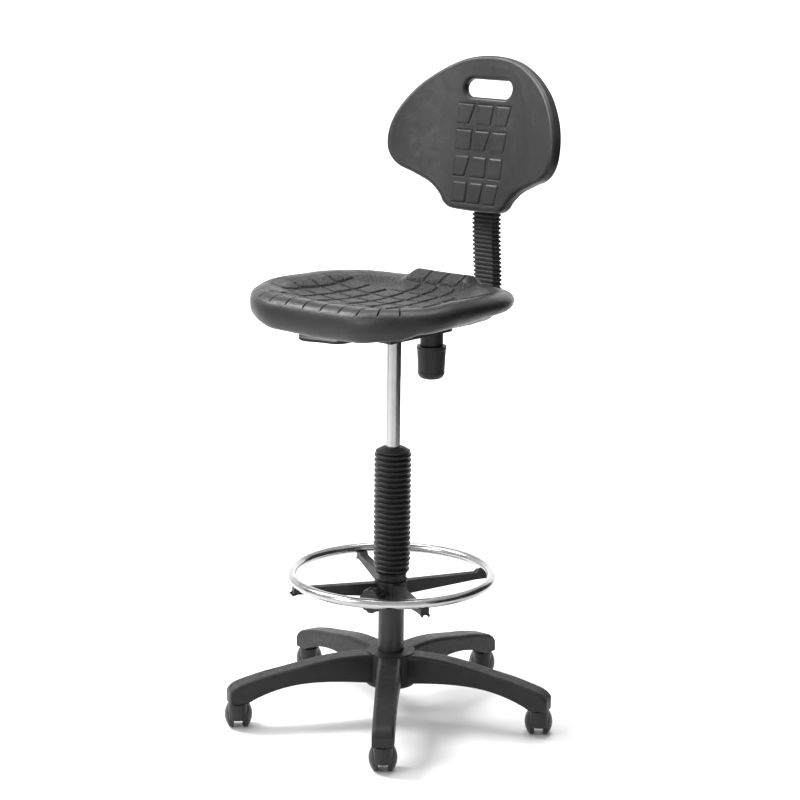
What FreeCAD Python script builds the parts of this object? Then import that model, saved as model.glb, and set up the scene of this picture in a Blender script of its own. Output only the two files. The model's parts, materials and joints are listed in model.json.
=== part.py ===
import FreeCAD, Part
import math
import os

# Drafting chair: five-leg castor base, gas lift, foot ring, tilting back and moulded foam seat.
# Millimetres.  The origin is on the floor under the column axis, +Z is up, and the sitter
# faces -Y, so the sitter's left is +X.

Vector = FreeCAD.Vector
UP = Vector(0, 0, 1)
X_AXIS = Vector(1, 0, 0)
Y_AXIS = Vector(0, 1, 0)

# ---- fits ----
SNUG = 0.02                 # gap between pieces that are fixed together
RUNNING = 0.05              # radial gap of a piece that turns or slides on another

# ---- castors ----
WHEEL_R = 25.0
WHEEL_INNER = 9.0           # inner face of a wheel, from the castor's middle plane
WHEEL_OUTER = 26.5
AXLE_R = 3.0
AXLE_HALF = 21.0
STEM_R = 5.5
STEM_LOW, STEM_HIGH = 30.0, 78.0
TRAIL = 18.0
TRAIL_ANGLE = 130.0         # the way all five castors trail, in degrees from +X
NECK_R = 18.0
NECK_LOW, NECK_HIGH = 21.0, 53.0
WEB_HALF = 7.6
WEB_LOW = 20.0              # the castor is open between its wheels below this height
WHEEL_ROOM = 1.4            # air between a wheel's tread and the housing

# ---- five-leg base ----
LEG_COUNT = 5
FIRST_LEG_ANGLE = 19.7
STEM_CIRCLE_R = 302.6
LEG_START_R, LEG_END_R = 40.0, 321.5
LEG_HALF_ROOT, LEG_HALF_END = 23.0, 20.3
LEG_FOOT_Z = 56.0
LEG_WALL = 4.5
POCKET_DEPTH = 15.0         # moulding pockets under a leg, between cross ribs
POCKET_START_R, POCKET_END_R, POCKET_PITCH, RIB_THICK = 62.0, 262.0, 16.0, 3.0
HUB_R = 47.0
HUB_LOW, HUB_HIGH = 70.0, 135.5

# ---- column and gas lift ----
COLUMN_R = 25.0
COLUMN_WALL = 2.0
COLUMN_LOW, COLUMN_HIGH = 66.0, 528.0
TAPER_R = 24.2              # column radius at its lower end, inside the hub
CYLINDER_R = 14.0
CYLINDER_BORE_R = 12.0
CYLINDER_LOW, CYLINDER_HIGH = 432.0, 777.0
CONE_LOW = 746.0
CONE_TOP_R = 13.3
ROD_R = 5.0
ROD_LOW, ROD_HIGH = 59.0, 464.0
VALVE_R = 3.0
VALVE_LOW, VALVE_HIGH = 751.0, 783.0
BEARING_LOW = COLUMN_LOW + 4.0
BALL_R, BALL_COUNT, BALL_CIRCLE_R = 1.95, 12, 9.5
RACE_THICK = 2.5

# ---- column bellows ----
BELLOWS_LOW, BELLOWS_HIGH = 294.3, 530.0
BELLOWS_RIBS = 23
BELLOWS_R, BELLOWS_ROOT_R = 35.5, 31.7
BELLOWS_WALL = 1.6

# ---- foot ring ----
RING_R, RING_TUBE_R, RING_BORE_R = 191.4, 9.4, 7.9
RING_Z = 287.0
SPIDER_ANGLE = 58.5
SPIDER_HUB_R = 33.0
SPIDER_LOW, SPIDER_HIGH = 235.0, 277.4
ARM_HALF = 8.0
ARM_END_R, PRONG_END_R, PRONG_THICK = 197.0, 199.0, 3.2
RING_SCREW_R, RING_SCREW_HEAD_R, RING_SCREW_SEAT_Z = 3.0, 4.2, 268.0
RING_KNOB_ANGLE = 281.0
RING_KNOB_Z = 255.0

# ---- seat ----
SEAT_HALF_WIDTH = 232.0
SEAT_FRONT, SEAT_REAR = -239.0, 176.0
SEAT_FRONT_CORNER_R, SEAT_REAR_CORNER_R = 150.0, 168.0
SEAT_LOW, SEAT_HIGH = 785.0, 856.0
SEAT_BASIN_Z, SEAT_BASIN_R = 823.0, 640.0
INSERT_LOW, INSERT_HIGH = 796.0, 804.0
PLATE_LOW = 793.0
BOLT_PLACES = ((-62, -55), (62, -55), (-62, 95), (62, 95))
BOLT_R = 4.0

# ---- mechanism ----
BOX_HALF, BOX_WALL = 39.0, 3.0
BOX_FRONT, BOX_REAR = -56.0, 126.0
BOX_LOW = 750.0
TILT_Y, TILT_Z, TILT_PIN_R = 24.0, 764.0, 5.0
LEVER_X, LEVER_Z, LEVER_R = -37.5, 787.3, 4.0

# ---- back support ----
BAR_WIDTH, BAR_THICK = 38.0, 8.0
BAR_Z = 758.0               # middle of the bar where it runs under the seat
BAR_START_Y, BAR_BEND_Y, BAR_BEND_R = 128.0, 222.0, 62.0
BAR_LEAN_FORWARD = 3.6      # degrees, above the bend
BAR_CURVE_START_Z, BAR_CURVE_R = 940.0, 180.0
BACK_LEAN = 10.2            # degrees, backwards, behind the backrest
BAR_TOP_Z = 1128.0
UPRIGHT_BOLT_Y = (165.0, 195.0)
SLEEVE_LOW, SLEEVE_PITCH = 797.0, 8.6

# ---- tension knob and its spring ----
KNOB_Y = 112.0
KNOB_LOW, KNOB_HIGH, KNOB_R, KNOB_BORE_R, KNOB_FLUTES = 655.0, 720.0, 29.0, 23.2, 16
KNOB_FLOOR = 690.0          # floor of the cup, under the spring's washer
SCREW_R = 5.0
SPRING_WIRE_R, SPRING_COIL_R = 2.0, 14.5
SPRING_LOW, SPRING_HIGH, SPRING_PITCH = 695.2, 747.6, 8.5

# ---- backrest ----
BACK_FACE_Y, BACK_MID_Z = 256.0, 1100.0
BACK_CURVE_R, BACK_THICK = 450.0, 25.0
BACK_HALF_OUTLINE = ((0, 1264), (54, 1258), (102, 1238), (147, 1206), (175, 1173), (192, 1141),
                     (199.5, 1105), (195, 1072), (176, 1047), (141, 1031), (108, 1015), (86, 996),
                     (74, 979), (58, 970), (28, 967.5), (0, 967))
SLOT_Z, SLOT_LENGTH, SLOT_HEIGHT = 1201.0, 112.0, 35.0
CARRIER_LOW, CARRIER_HIGH = 1040.0, 1110.0
CARRIER_SCREWS = ((-34, -52), (34, -52), (-34, 22), (34, 22))


def polar(radius, degrees, z=0.0):
    """A point given by its distance from the column axis, its angle from +X and its height."""
    angle = math.radians(degrees)
    return Vector(radius * math.cos(angle), radius * math.sin(angle), z)


def cylinder(radius, low, high, x=0.0, y=0.0):
    return Part.makeCylinder(radius, high - low, Vector(x, y, low), UP)


def tube(outer, inner, low, high, x=0.0, y=0.0):
    return cylinder(outer, low, high, x, y).cut(cylinder(inner, low - 1, high + 1, x, y))


def box(x0, x1, y0, y1, z0, z1):
    return Part.makeBox(x1 - x0, y1 - y0, z1 - z0, Vector(x0, y0, z0))


def rod_between(start, end, radius):
    return Part.makeCylinder(radius, (end - start).Length, start, end - start)


def turned(shape, degrees, centre=Vector(0, 0, 0), axis=UP):
    copy = shape.copy()
    copy.rotate(centre, axis, degrees)
    return copy


def moved(shape, offset):
    copy = shape.copy()
    copy.translate(offset)
    return copy


def fused(shapes):
    result = shapes[0].multiFuse(shapes[1:]) if len(shapes) > 1 else shapes[0]
    return result.removeSplitter()


def solids_of(shapes):
    """Separate pieces kept in one node."""
    solids = []
    for shape in shapes:
        solids.extend(shape.Solids)
    return Part.makeCompound(solids)


def polygon(points):
    return Part.Face(Part.makePolygon(points + [points[0]]))


def hexagon(radius, x, y, z, height):
    """Six-sided prism, as of a bolt's head."""
    corners = [Vector(x, y, z) + polar(radius, 60 * k) for k in range(6)]
    return polygon(corners).extrude(Vector(0, 0, height))


def curve_through(points, closed=False):
    curve = Part.BSplineCurve()
    curve.interpolate(Points=points, PeriodicFlag=closed)
    return curve.toShape()


def revolved(points):
    """A solid turned about +Z from (radius, z) points."""
    return polygon([Vector(r, 0, z) for r, z in points]).revolve(Vector(0, 0, 0), UP, 360)


def rounded_rectangle(x0, x1, y0, y1, front_r, rear_r, z):
    """A flat closed wire with its own corner radius at the front (-Y) and at the rear (+Y)."""
    corners = ((x1, y0, front_r, -90), (x1, y1, rear_r, 0),
               (x0, y1, rear_r, 90), (x0, y0, front_r, 180))
    arcs = []
    for x, y, r, start in corners:
        centre = Vector(x - math.copysign(r, x), y - r if y == y1 else y + r, z)
        arcs.append([centre + polar(r, start + step) for step in (0, 45, 90)])
    edges = []
    for index, (first, middle, last) in enumerate(arcs):
        edges.append(Part.Arc(first, middle, last).toShape())
        following = arcs[(index + 1) % len(arcs)][0]
        if (following - last).Length > 1e-6:
            edges.append(Part.LineSegment(last, following).toShape())
    return Part.Wire(edges)


def save(name, shape):
    shape.exportStep("parts/%s.step" % name)


# ---------------------------------------------------------------- base
def leg_section(r, half, top):
    """Upright section of a leg at a distance r from the column, with rounded top corners."""
    edge_r = 7.0
    diagonal = edge_r * (1 - math.sqrt(0.5))
    corners = [Vector(r, -half, LEG_FOOT_Z), Vector(r, half, LEG_FOOT_Z),
               Vector(r, half, top - edge_r), Vector(r, half - edge_r, top),
               Vector(r, -half + edge_r, top), Vector(r, -half, top - edge_r)]
    return Part.Wire([
        Part.LineSegment(corners[0], corners[1]).toShape(),
        Part.LineSegment(corners[1], corners[2]).toShape(),
        Part.Arc(corners[2], Vector(r, half - diagonal, top - diagonal), corners[3]).toShape(),
        Part.LineSegment(corners[3], corners[4]).toShape(),
        Part.Arc(corners[4], Vector(r, -half + diagonal, top - diagonal), corners[5]).toShape(),
        Part.LineSegment(corners[5], corners[0]).toShape()])


def side_prism(curve, low, half):
    """Everything under a curve that runs outwards in the XZ plane, down to a level."""
    start, end = curve.Vertexes[0].Point, curve.Vertexes[-1].Point
    below_end, below_start = Vector(end.x, 0, low), Vector(start.x, 0, low)
    outline = Part.Wire([curve, Part.LineSegment(end, below_end).toShape(),
                         Part.LineSegment(below_end, below_start).toShape(),
                         Part.LineSegment(below_start, start).toShape()])
    prism = Part.Face(outline).extrude(Vector(0, 2 * half, 0))
    return moved(prism, Vector(0, -half, 0))


ARCH = ((0, 72), (80, 83), (138, 87.5), (186, 86.5), (228, 79.5), (262, 68.5), (289, LEG_FOOT_Z - 0.5))


def arch_height(r):
    """Height of the arch under a leg, straight between its points."""
    for (r0, z0), (r1, z1) in zip(ARCH, ARCH[1:]):
        if r <= r1:
            return z0 + (z1 - z0) * (r - r0) / (r1 - r0)
    return ARCH[-1][1]


def leg():
    """One leg along +X: an arch with rounded top edges, pockets below and a solid end."""
    tops = ((LEG_START_R, 134.0), (72, 134.0), (112, 132.0), (178, 121.5), (230, 111.5), (282, 99.5),
            (303, 93.0), (315, 85.5), (LEG_END_R, 74.0))
    taper = (LEG_HALF_ROOT - LEG_HALF_END) / LEG_END_R
    block = Part.makeLoft([leg_section(r, LEG_HALF_ROOT - taper * r, top) for r, top in tops], True, False)
    corner_r = 10.0
    plan_half = 30.0
    plan_r = plan_half - LEG_HALF_END + corner_r
    plan = rounded_rectangle(-50, LEG_END_R - 0.01, -plan_half, plan_half, plan_r, plan_r, 0)
    block = block.common(Part.Face(plan).extrude(Vector(0, 0, 200)))
    block = block.cut(side_prism(curve_through([Vector(r, 0, z) for r, z in ARCH]), 40, 40))
    channel_half = LEG_HALF_END - LEG_WALL
    pockets = []
    for k in range(int((POCKET_END_R - POCKET_START_R) / POCKET_PITCH)):
        start = POCKET_START_R + POCKET_PITCH * k
        end = start + POCKET_PITCH - RIB_THICK
        roof = arch_height((start + end) / 2) + POCKET_DEPTH
        pockets.append(box(start, end, -channel_half, channel_half, 40, roof))
    return block.cut(Part.makeCompound(pockets))


def star_base():
    legs = [turned(leg(), FIRST_LEG_ANGLE + 360.0 / LEG_COUNT * i) for i in range(LEG_COUNT)]
    hub = cylinder(HUB_R, HUB_LOW, HUB_HIGH)
    base = fused([hub] + legs)
    socket = Part.makeCone(TAPER_R + SNUG, COLUMN_R + SNUG, HUB_HIGH - COLUMN_LOW,
                           Vector(0, 0, COLUMN_LOW), UP)
    cuts = [socket, cylinder(COLUMN_R + SNUG, HUB_HIGH - 0.01, 150)]
    for x, y in castor_places():
        cuts.append(cylinder(STEM_R + RUNNING, LEG_FOOT_Z - 1, STEM_HIGH + 2, x, y))
    return base.cut(fused(cuts))


# ---------------------------------------------------------------- castors
def castor_places():
    places = []
    for i in range(LEG_COUNT):
        point = polar(STEM_CIRCLE_R, FIRST_LEG_ANGLE + 360.0 / LEG_COUNT * i)
        places.append((point.x, point.y))
    return places


def castor_housing():
    """Neck and web of a castor at the origin, trailing along +X, with its wheels beside it on Y."""
    neck = cylinder(NECK_R, NECK_LOW, NECK_HIGH)
    neck = neck.makeFillet(2.5, [e for e in neck.Edges if e.BoundBox.ZMax < NECK_LOW + 1])
    web = Part.makeCylinder(WHEEL_R - 3.0, 2 * WEB_HALF, Vector(TRAIL, -WEB_HALF, WHEEL_R), Y_AXIS)
    web = web.common(box(0, 60, -20, 20, WEB_LOW, 60))
    shoulder = box(0, TRAIL + 4, -WEB_HALF, WEB_HALF, WHEEL_R, NECK_HIGH - 4)
    body = fused([neck, web, shoulder])
    room_r = WHEEL_R + WHEEL_ROOM
    for side in (-1, 1):
        start = Vector(TRAIL, side * WEB_HALF, WHEEL_R)
        body = body.cut(Part.makeCylinder(room_r, 30, start, Vector(0, side, 0)))
    axle_hole = Part.makeCylinder(AXLE_R + SNUG, 60, Vector(TRAIL, -30, WHEEL_R), Y_AXIS)
    stem_hole = cylinder(STEM_R + SNUG, STEM_LOW, 60)
    return body.cut(axle_hole).cut(stem_hole)


def castor_pins():
    """The steel stem and the steel axle that are pressed into a castor's housing."""
    stem = cylinder(STEM_R, STEM_LOW, STEM_HIGH)
    stem = stem.makeChamfer(1.2, [e for e in stem.Edges if e.BoundBox.ZMin > STEM_HIGH - 1])
    collar = tube(8.5, STEM_R - 1, NECK_HIGH, NECK_HIGH + 1.8)
    axle = Part.makeCylinder(AXLE_R, 2 * AXLE_HALF, Vector(TRAIL, -AXLE_HALF, WHEEL_R), Y_AXIS)
    return solids_of([stem.fuse(collar).removeSplitter(), axle])


def castor_wheel(side):
    """A wheel with a domed outer face; side is +1 or -1 along the castor's Y."""
    inner, outer = WHEEL_INNER, WHEEL_OUTER
    tread_edge, edge_r = 17.5, WHEEL_R - 0.6
    dome_r = (edge_r ** 2 + (outer - tread_edge) ** 2) / (2 * (outer - tread_edge))
    dome_centre = outer - dome_r
    dome_middle = Vector(edge_r * 0.75, dome_centre + math.sqrt(dome_r ** 2 - (edge_r * 0.75) ** 2), 0)
    dome = Part.Arc(Vector(edge_r, tread_edge, 0), dome_middle, Vector(0, outer, 0)).toShape()
    points = [Vector(0, outer, 0), Vector(0, inner + 1.5, 0), Vector(8, inner + 1.5, 0),
              Vector(8, inner + 6, 0), Vector(20, inner + 6, 0), Vector(20, inner, 0),
              Vector(WHEEL_R - 1, inner, 0), Vector(WHEEL_R, inner + 1, 0),
              Vector(WHEEL_R, tread_edge - 1.5, 0), Vector(edge_r, tread_edge, 0)]
    edges = [Part.LineSegment(a, b).toShape() for a, b in zip(points, points[1:])]
    solid = Part.Face(Part.Wire(edges + [dome])).revolve(Vector(0, 0, 0), Y_AXIS, 360)
    bore = Part.makeCylinder(AXLE_R + RUNNING, AXLE_HALF + 0.5, Vector(0, 0, 0), Y_AXIS)
    solid = solid.cut(bore)
    if side < 0:
        solid = turned(solid, 180)
    return moved(solid, Vector(TRAIL, 0, WHEEL_R))


def save_castors():
    pieces = {"castor_housing": castor_housing(), "castor_pins": castor_pins(),
              "castor_wheel_left": castor_wheel(-1), "castor_wheel_right": castor_wheel(1)}
    for name, shape in pieces.items():
        for i, (x, y) in enumerate(castor_places()):
            placed = moved(turned(shape, TRAIL_ANGLE), Vector(x, y, 0))
            save("%s_%d" % (name, i + 1), placed)


# ---------------------------------------------------------------- column
def column_tube():
    inner = COLUMN_R - COLUMN_WALL
    points = [(TAPER_R - COLUMN_WALL, COLUMN_LOW), (TAPER_R, COLUMN_LOW), (COLUMN_R, HUB_HIGH),
              (COLUMN_R, COLUMN_HIGH), (inner, COLUMN_HIGH), (inner, HUB_HIGH)]
    return revolved(points)


def column_base_plate():
    return tube(TAPER_R - COLUMN_WALL - SNUG, ROD_R + 0.2, COLUMN_LOW, COLUMN_LOW + 4)


def column_guide_bush():
    """Plastic bush that guides the gas cylinder; its flange rests on the column's top."""
    inner = CYLINDER_R + RUNNING
    outer = COLUMN_R - COLUMN_WALL - SNUG
    points = [(inner, 448), (outer, 448), (outer, COLUMN_HIGH), (COLUMN_R, COLUMN_HIGH),
              (COLUMN_R, COLUMN_HIGH + 2.5), (inner, COLUMN_HIGH + 2.5)]
    return revolved(points)


def thrust_bearing():
    """Lower race with its ring of balls."""
    race = tube(14.0, ROD_R + 0.3, BEARING_LOW, BEARING_LOW + RACE_THICK)
    height = BEARING_LOW + RACE_THICK + 2.0
    balls = [Part.makeSphere(BALL_R, polar(BALL_CIRCLE_R, 360.0 / BALL_COUNT * i, height))
             for i in range(BALL_COUNT)]
    return solids_of([race] + balls)


def thrust_race_upper():
    low = BEARING_LOW + RACE_THICK + 4.0
    return tube(13.5, ROD_R + SNUG, low, low + RACE_THICK)


def rubber_buffer():
    low = BEARING_LOW + 2 * RACE_THICK + 4.0
    return tube(12.5, ROD_R + SNUG, low, low + 13)


def rod_clip():
    return tube(9.0, ROD_R + SNUG, COLUMN_LOW - 4, COLUMN_LOW - 1.5)


def piston_rod():
    rod = cylinder(ROD_R, ROD_LOW, ROD_HIGH)
    return rod.makeChamfer(0.8, [e for e in rod.Edges if e.BoundBox.ZMax < ROD_LOW + 1])


def piston():
    return tube(CYLINDER_BORE_R - RUNNING, ROD_R + SNUG, ROD_HIGH - 12, ROD_HIGH)


def gas_cylinder():
    points = [(ROD_R + RUNNING, CYLINDER_LOW), (CYLINDER_R - 1, CYLINDER_LOW),
              (CYLINDER_R, CYLINDER_LOW + 1), (CYLINDER_R, CONE_LOW), (CONE_TOP_R, CYLINDER_HIGH),
              (VALVE_R + RUNNING, CYLINDER_HIGH), (VALVE_R + RUNNING, VALVE_LOW - 5),
              (0, VALVE_LOW - 5), (0, VALVE_LOW - 15), (CYLINDER_BORE_R, VALVE_LOW - 15),
              (CYLINDER_BORE_R, CYLINDER_LOW + 12), (ROD_R + RUNNING, CYLINDER_LOW + 12)]
    return revolved(points)


def valve_pin():
    pin = cylinder(VALVE_R, VALVE_LOW, VALVE_HIGH)
    return pin.makeChamfer(0.6, [e for e in pin.Edges if e.BoundBox.ZMin > VALVE_HIGH - 1])


def column_bellows():
    """Corrugated sleeve with the same zigzag outside and inside."""
    pitch = (BELLOWS_HIGH - BELLOWS_LOW) / BELLOWS_RIBS
    outside, inside = [], []
    for i in range(BELLOWS_RIBS):
        low = BELLOWS_LOW + i * pitch
        for share, radius in ((0.0, BELLOWS_ROOT_R), (0.3, BELLOWS_R), (0.7, BELLOWS_R)):
            outside.append((radius, low + share * pitch))
            inside.append((radius - BELLOWS_WALL, low + share * pitch))
    outside.append((BELLOWS_ROOT_R, BELLOWS_HIGH))
    inside.append((BELLOWS_ROOT_R - BELLOWS_WALL, BELLOWS_HIGH))
    return revolved(outside + inside[::-1])


def bellows_top_cap():
    gap = 0.4
    inner = CYLINDER_R + gap
    low = COLUMN_HIGH + 2.5
    points = [(inner, low), (33.0, low), (33.0, low + 3), (24.0, low + 8), (19.0, low + 10.5),
              (inner, low + 10.5)]
    return revolved(points)


def bellows_collar():
    points = [(COLUMN_R + RUNNING, 277.9), (27.0, 277.9), (28.0, 279), (28.0, 290), (31.0, 294),
              (COLUMN_R + RUNNING, 294)]
    return revolved(points)


# ---------------------------------------------------------------- foot ring
def ring_screw_places():
    places = [polar(RING_R, SPIDER_ANGLE + 90 * i) for i in range(4)]
    return [(place.x, place.y) for place in places]


def foot_ring():
    ring = Part.makeTorus(RING_R, RING_TUBE_R, Vector(0, 0, RING_Z), UP)
    ring = ring.cut(Part.makeTorus(RING_R, RING_BORE_R, Vector(0, 0, RING_Z), UP))
    for x, y in ring_screw_places():
        ring = ring.cut(cylinder(RING_SCREW_R + SNUG, RING_Z - 12, RING_Z, x, y))
    return ring


def spider_arm():
    """One arm along +X, deep at the hub, with a saddle under the ring and two prongs at its end."""
    side = [Vector(20, 0, SPIDER_LOW + 10), Vector(SPIDER_HUB_R + 8, 0, SPIDER_LOW + 14),
            Vector(ARM_END_R - 26, 0, 264), Vector(ARM_END_R, 0, 265), Vector(ARM_END_R, 0, 281),
            Vector(ARM_END_R - 20, 0, 282), Vector(ARM_END_R - 26, 0, 277),
            Vector(20, 0, SPIDER_HIGH - 3)]
    arm = polygon(side).extrude(Vector(0, 2 * ARM_HALF, 0))
    arm.translate(Vector(0, -ARM_HALF, 0))
    prong = polygon([Vector(ARM_END_R - 8, 0, 265), Vector(PRONG_END_R, 0, 262),
                     Vector(PRONG_END_R + 4, 0, 265.5), Vector(ARM_END_R - 8, 0, 274)])
    prong = prong.extrude(Vector(0, PRONG_THICK, 0))
    prongs = [moved(prong, Vector(0, y, 0)) for y in (-ARM_HALF, ARM_HALF - PRONG_THICK)]
    return fused([arm] + prongs)


def ring_spider():
    arms = [turned(spider_arm(), SPIDER_ANGLE + 90 * i) for i in range(4)]
    hub = cylinder(SPIDER_HUB_R, SPIDER_LOW, SPIDER_HIGH)
    start, boss_end, outside = [polar(r, RING_KNOB_ANGLE, RING_KNOB_Z) for r in (20, 50, 60)]
    boss = rod_between(start, boss_end, 13)
    spider = fused([hub, boss] + arms)
    cuts = [cylinder(COLUMN_R + 0.08, SPIDER_LOW - 1, SPIDER_HIGH + 1),
            Part.makeTorus(RING_R, RING_TUBE_R + SNUG, Vector(0, 0, RING_Z), UP),
            rod_between(start, outside, 5 + RUNNING)]
    for x, y in ring_screw_places():
        cuts.append(cylinder(RING_SCREW_R + SNUG, 255, 280, x, y))
        cuts.append(cylinder(RING_SCREW_HEAD_R + 0.4, 250, RING_SCREW_SEAT_Z, x, y))
    for cut in cuts:
        spider = spider.cut(cut)
    return spider


def ring_screws():
    screws = []
    for x, y in ring_screw_places():
        shank = cylinder(RING_SCREW_R, RING_SCREW_SEAT_Z, RING_Z - RING_TUBE_R + 4, x, y)
        head = cylinder(RING_SCREW_HEAD_R, RING_SCREW_SEAT_Z - 2, RING_SCREW_SEAT_Z, x, y)
        screws.append(fused([shank, head]))
    return solids_of(screws)


def lobed_knob(radius, low, high, lobes, dip_r, screw_r, screw_low):
    """A clamp knob along +Z with scooped flutes and its threaded stud below it."""
    body = cylinder(radius, low, high)
    rims = [e for e in body.Edges if e.Length > radius]
    body = body.makeFillet(min(4.0, (high - low) / 4), rims)
    for i in range(lobes):
        centre = polar(radius + dip_r * 0.55, 360.0 / lobes * i)
        body = body.cut(cylinder(dip_r, low - 1, high + 1, centre.x, centre.y))
    return fused([body, cylinder(screw_r, screw_low, low + 1)])


def aimed(shape, origin, direction):
    """Carry a shape built along +Z to an origin, along a direction."""
    copy = shape.copy()
    copy.Placement = FreeCAD.Placement(origin, FreeCAD.Rotation(UP, direction)).multiply(copy.Placement)
    return copy


def ring_knob():
    knob = lobed_knob(24.0, 60.0, 85.0, 7, 7.0, 5.0, COLUMN_R + 0.3)
    return aimed(knob, Vector(0, 0, RING_KNOB_Z), polar(1, RING_KNOB_ANGLE))


# ---------------------------------------------------------------- seat and mechanism
def seat_section(inset, z):
    return rounded_rectangle(-SEAT_HALF_WIDTH + inset, SEAT_HALF_WIDTH - inset, SEAT_FRONT + inset,
                             SEAT_REAR - inset, SEAT_FRONT_CORNER_R - inset, SEAT_REAR_CORNER_R - inset, z)


def insert_outline(grow, low, high):
    wire = rounded_rectangle(-145 - grow, 145 + grow, -140 - grow, 120 + grow, 60 + grow, 60 + grow, low)
    return Part.Face(wire).extrude(Vector(0, 0, high - low))


def seat_pad():
    """Foam pad: a rounded rim, a dished top and a pocket below for the insert board."""
    levels = ((34, SEAT_LOW), (10, 797), (0, 818), (6, 838), (24, 851), (44, SEAT_HIGH))
    pad = Part.makeLoft([seat_section(inset, z) for inset, z in levels], True, False)
    middle = (SEAT_FRONT + SEAT_REAR) / 2
    basin = Part.makeSphere(SEAT_BASIN_R, Vector(0, middle, SEAT_BASIN_Z + SEAT_BASIN_R))
    plate_pocket = box(-90, 90, 100, BOX_REAR + 4, SEAT_LOW - 5, INSERT_LOW)
    return pad.cut(basin).cut(insert_outline(0.3, SEAT_LOW - 5, INSERT_HIGH)).cut(plate_pocket)


def seat_insert():
    board = insert_outline(0, INSERT_LOW, INSERT_HIGH)
    for x, y in BOLT_PLACES:
        board = board.cut(cylinder(BOLT_R + SNUG, INSERT_LOW - 1, INSERT_HIGH + 1, x, y))
    return board


def seat_plate():
    wire = rounded_rectangle(-85, 85, -80, 122, 16, 16, PLATE_LOW)
    plate = Part.Face(wire).extrude(Vector(0, 0, INSERT_LOW - PLATE_LOW))
    for x, y in BOLT_PLACES:
        plate = plate.cut(cylinder(BOLT_R + SNUG, PLATE_LOW - 1, INSERT_LOW + 1, x, y))
    return plate


def seat_bolts():
    bolts = []
    for x, y in BOLT_PLACES:
        head = cylinder(7.5, PLATE_LOW - 5, PLATE_LOW, x, y)
        head = head.cut(hexagon(4, x, y, PLATE_LOW - 6, 4))
        bolts.append(fused([head, cylinder(BOLT_R, PLATE_LOW - 1.5, INSERT_HIGH - 1, x, y)]))
    return solids_of(bolts)


def mechanism_housing():
    """Pressed steel box, open behind the lift cone so that the back bracket can swing down."""
    inner = BOX_HALF - BOX_WALL
    walls = [box(inner, BOX_HALF, BOX_FRONT, BOX_REAR, BOX_LOW, PLATE_LOW),
             box(-BOX_HALF, -inner, BOX_FRONT, BOX_REAR, BOX_LOW, PLATE_LOW),
             box(-BOX_HALF, BOX_HALF, BOX_FRONT, BOX_FRONT + BOX_WALL, BOX_LOW, PLATE_LOW),
             box(-inner, inner, BOX_FRONT, 16, BOX_LOW, BOX_LOW + BOX_WALL),
             box(-inner, inner, BOX_FRONT, 12, 768, 771),
             cylinder(17.5, CONE_LOW, CYLINDER_HIGH - 1)]
    housing = fused(walls)
    bore = Part.makeCone(CYLINDER_R + SNUG, CONE_TOP_R + SNUG, CYLINDER_HIGH - CONE_LOW,
                         Vector(0, 0, CONE_LOW), UP)
    pin_hole = Part.makeCylinder(TILT_PIN_R + SNUG, 100, Vector(-50, TILT_Y, TILT_Z), X_AXIS)
    lever_hole = Part.makeCylinder(LEVER_R + 0.6, 20, Vector(LEVER_X - 10, 0, LEVER_Z), X_AXIS)
    return housing.cut(fused([bore, pin_hole, lever_hole]))


def pivot_pin():
    pin = Part.makeCylinder(TILT_PIN_R, 86, Vector(-43, TILT_Y, TILT_Z), X_AXIS)
    return pin.makeChamfer(0.8, [e for e in pin.Edges if e.Length > 30 and e.Length < 33])


def lever_path():
    return [Vector(13, 0, LEVER_Z), Vector(-54, 0, LEVER_Z), Vector(-86, -5, 737), Vector(-124, -12, 731.5)]


def bent_rod(points, radius, bend_r):
    """A round rod along straight runs joined by tangent arcs."""
    edges = []
    start = points[0]
    for before, corner, after in zip(points, points[1:], points[2:]):
        inward = (before - corner).normalize()
        outward = (after - corner).normalize()
        half_turn = (math.pi - inward.getAngle(outward)) / 2
        reach = bend_r * math.tan(half_turn)
        bisector = (inward + outward).normalize()
        middle = corner + bisector * (bend_r / math.cos(half_turn) - bend_r)
        edges.append(Part.LineSegment(start, corner + inward * reach).toShape())
        edges.append(Part.Arc(corner + inward * reach, middle, corner + outward * reach).toShape())
        start = corner + outward * reach
    edges.append(Part.LineSegment(start, points[-1]).toShape())
    path = Part.Wire(edges)
    profile = Part.Wire([Part.makeCircle(radius, points[0], points[1] - points[0])])
    return path.makePipeShell([profile], True, False)


def lever_rod():
    return bent_rod(lever_path(), LEVER_R, 16.0)


def lever_paddle():
    """Thin S-curved grip, wider towards its tip, with a boss round the end of the rod."""
    half_thick = 2.75
    spine = [(-104, 730), (-135, 727), (-175, 725.5), (-200, 727), (-215, 730.5)]
    top = [Vector(x, 0, z + half_thick) for x, z in spine]
    bottom = [Vector(x, 0, z - half_thick) for x, z in reversed(spine)]
    outline = [curve_through(top), Part.LineSegment(top[-1], bottom[0]).toShape(),
               curve_through(bottom), Part.LineSegment(bottom[-1], top[0]).toShape()]
    band = Part.Face(Part.Wire(outline)).extrude(Vector(0, 80, 0))
    band.translate(Vector(0, -60, 0))
    plan = [Vector(-104, 1, 0), Vector(-160, 2, 0), Vector(-206, -10, 0), Vector(-216, -22, 0),
            Vector(-208, -38, 0), Vector(-160, -28, 0), Vector(-104, -18, 0)]
    grip = band.common(Part.Face(Part.Wire([curve_through(plan, True)])).extrude(Vector(0, 0, 900)))
    before, end = lever_path()[-2:]
    along = (end - before).normalize()
    boss = rod_between(end - along * 20, end + along * 4, 6.8)
    return fused([grip, boss]).cut(rod_between(end - along * 40, end, LEVER_R + SNUG))


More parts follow.
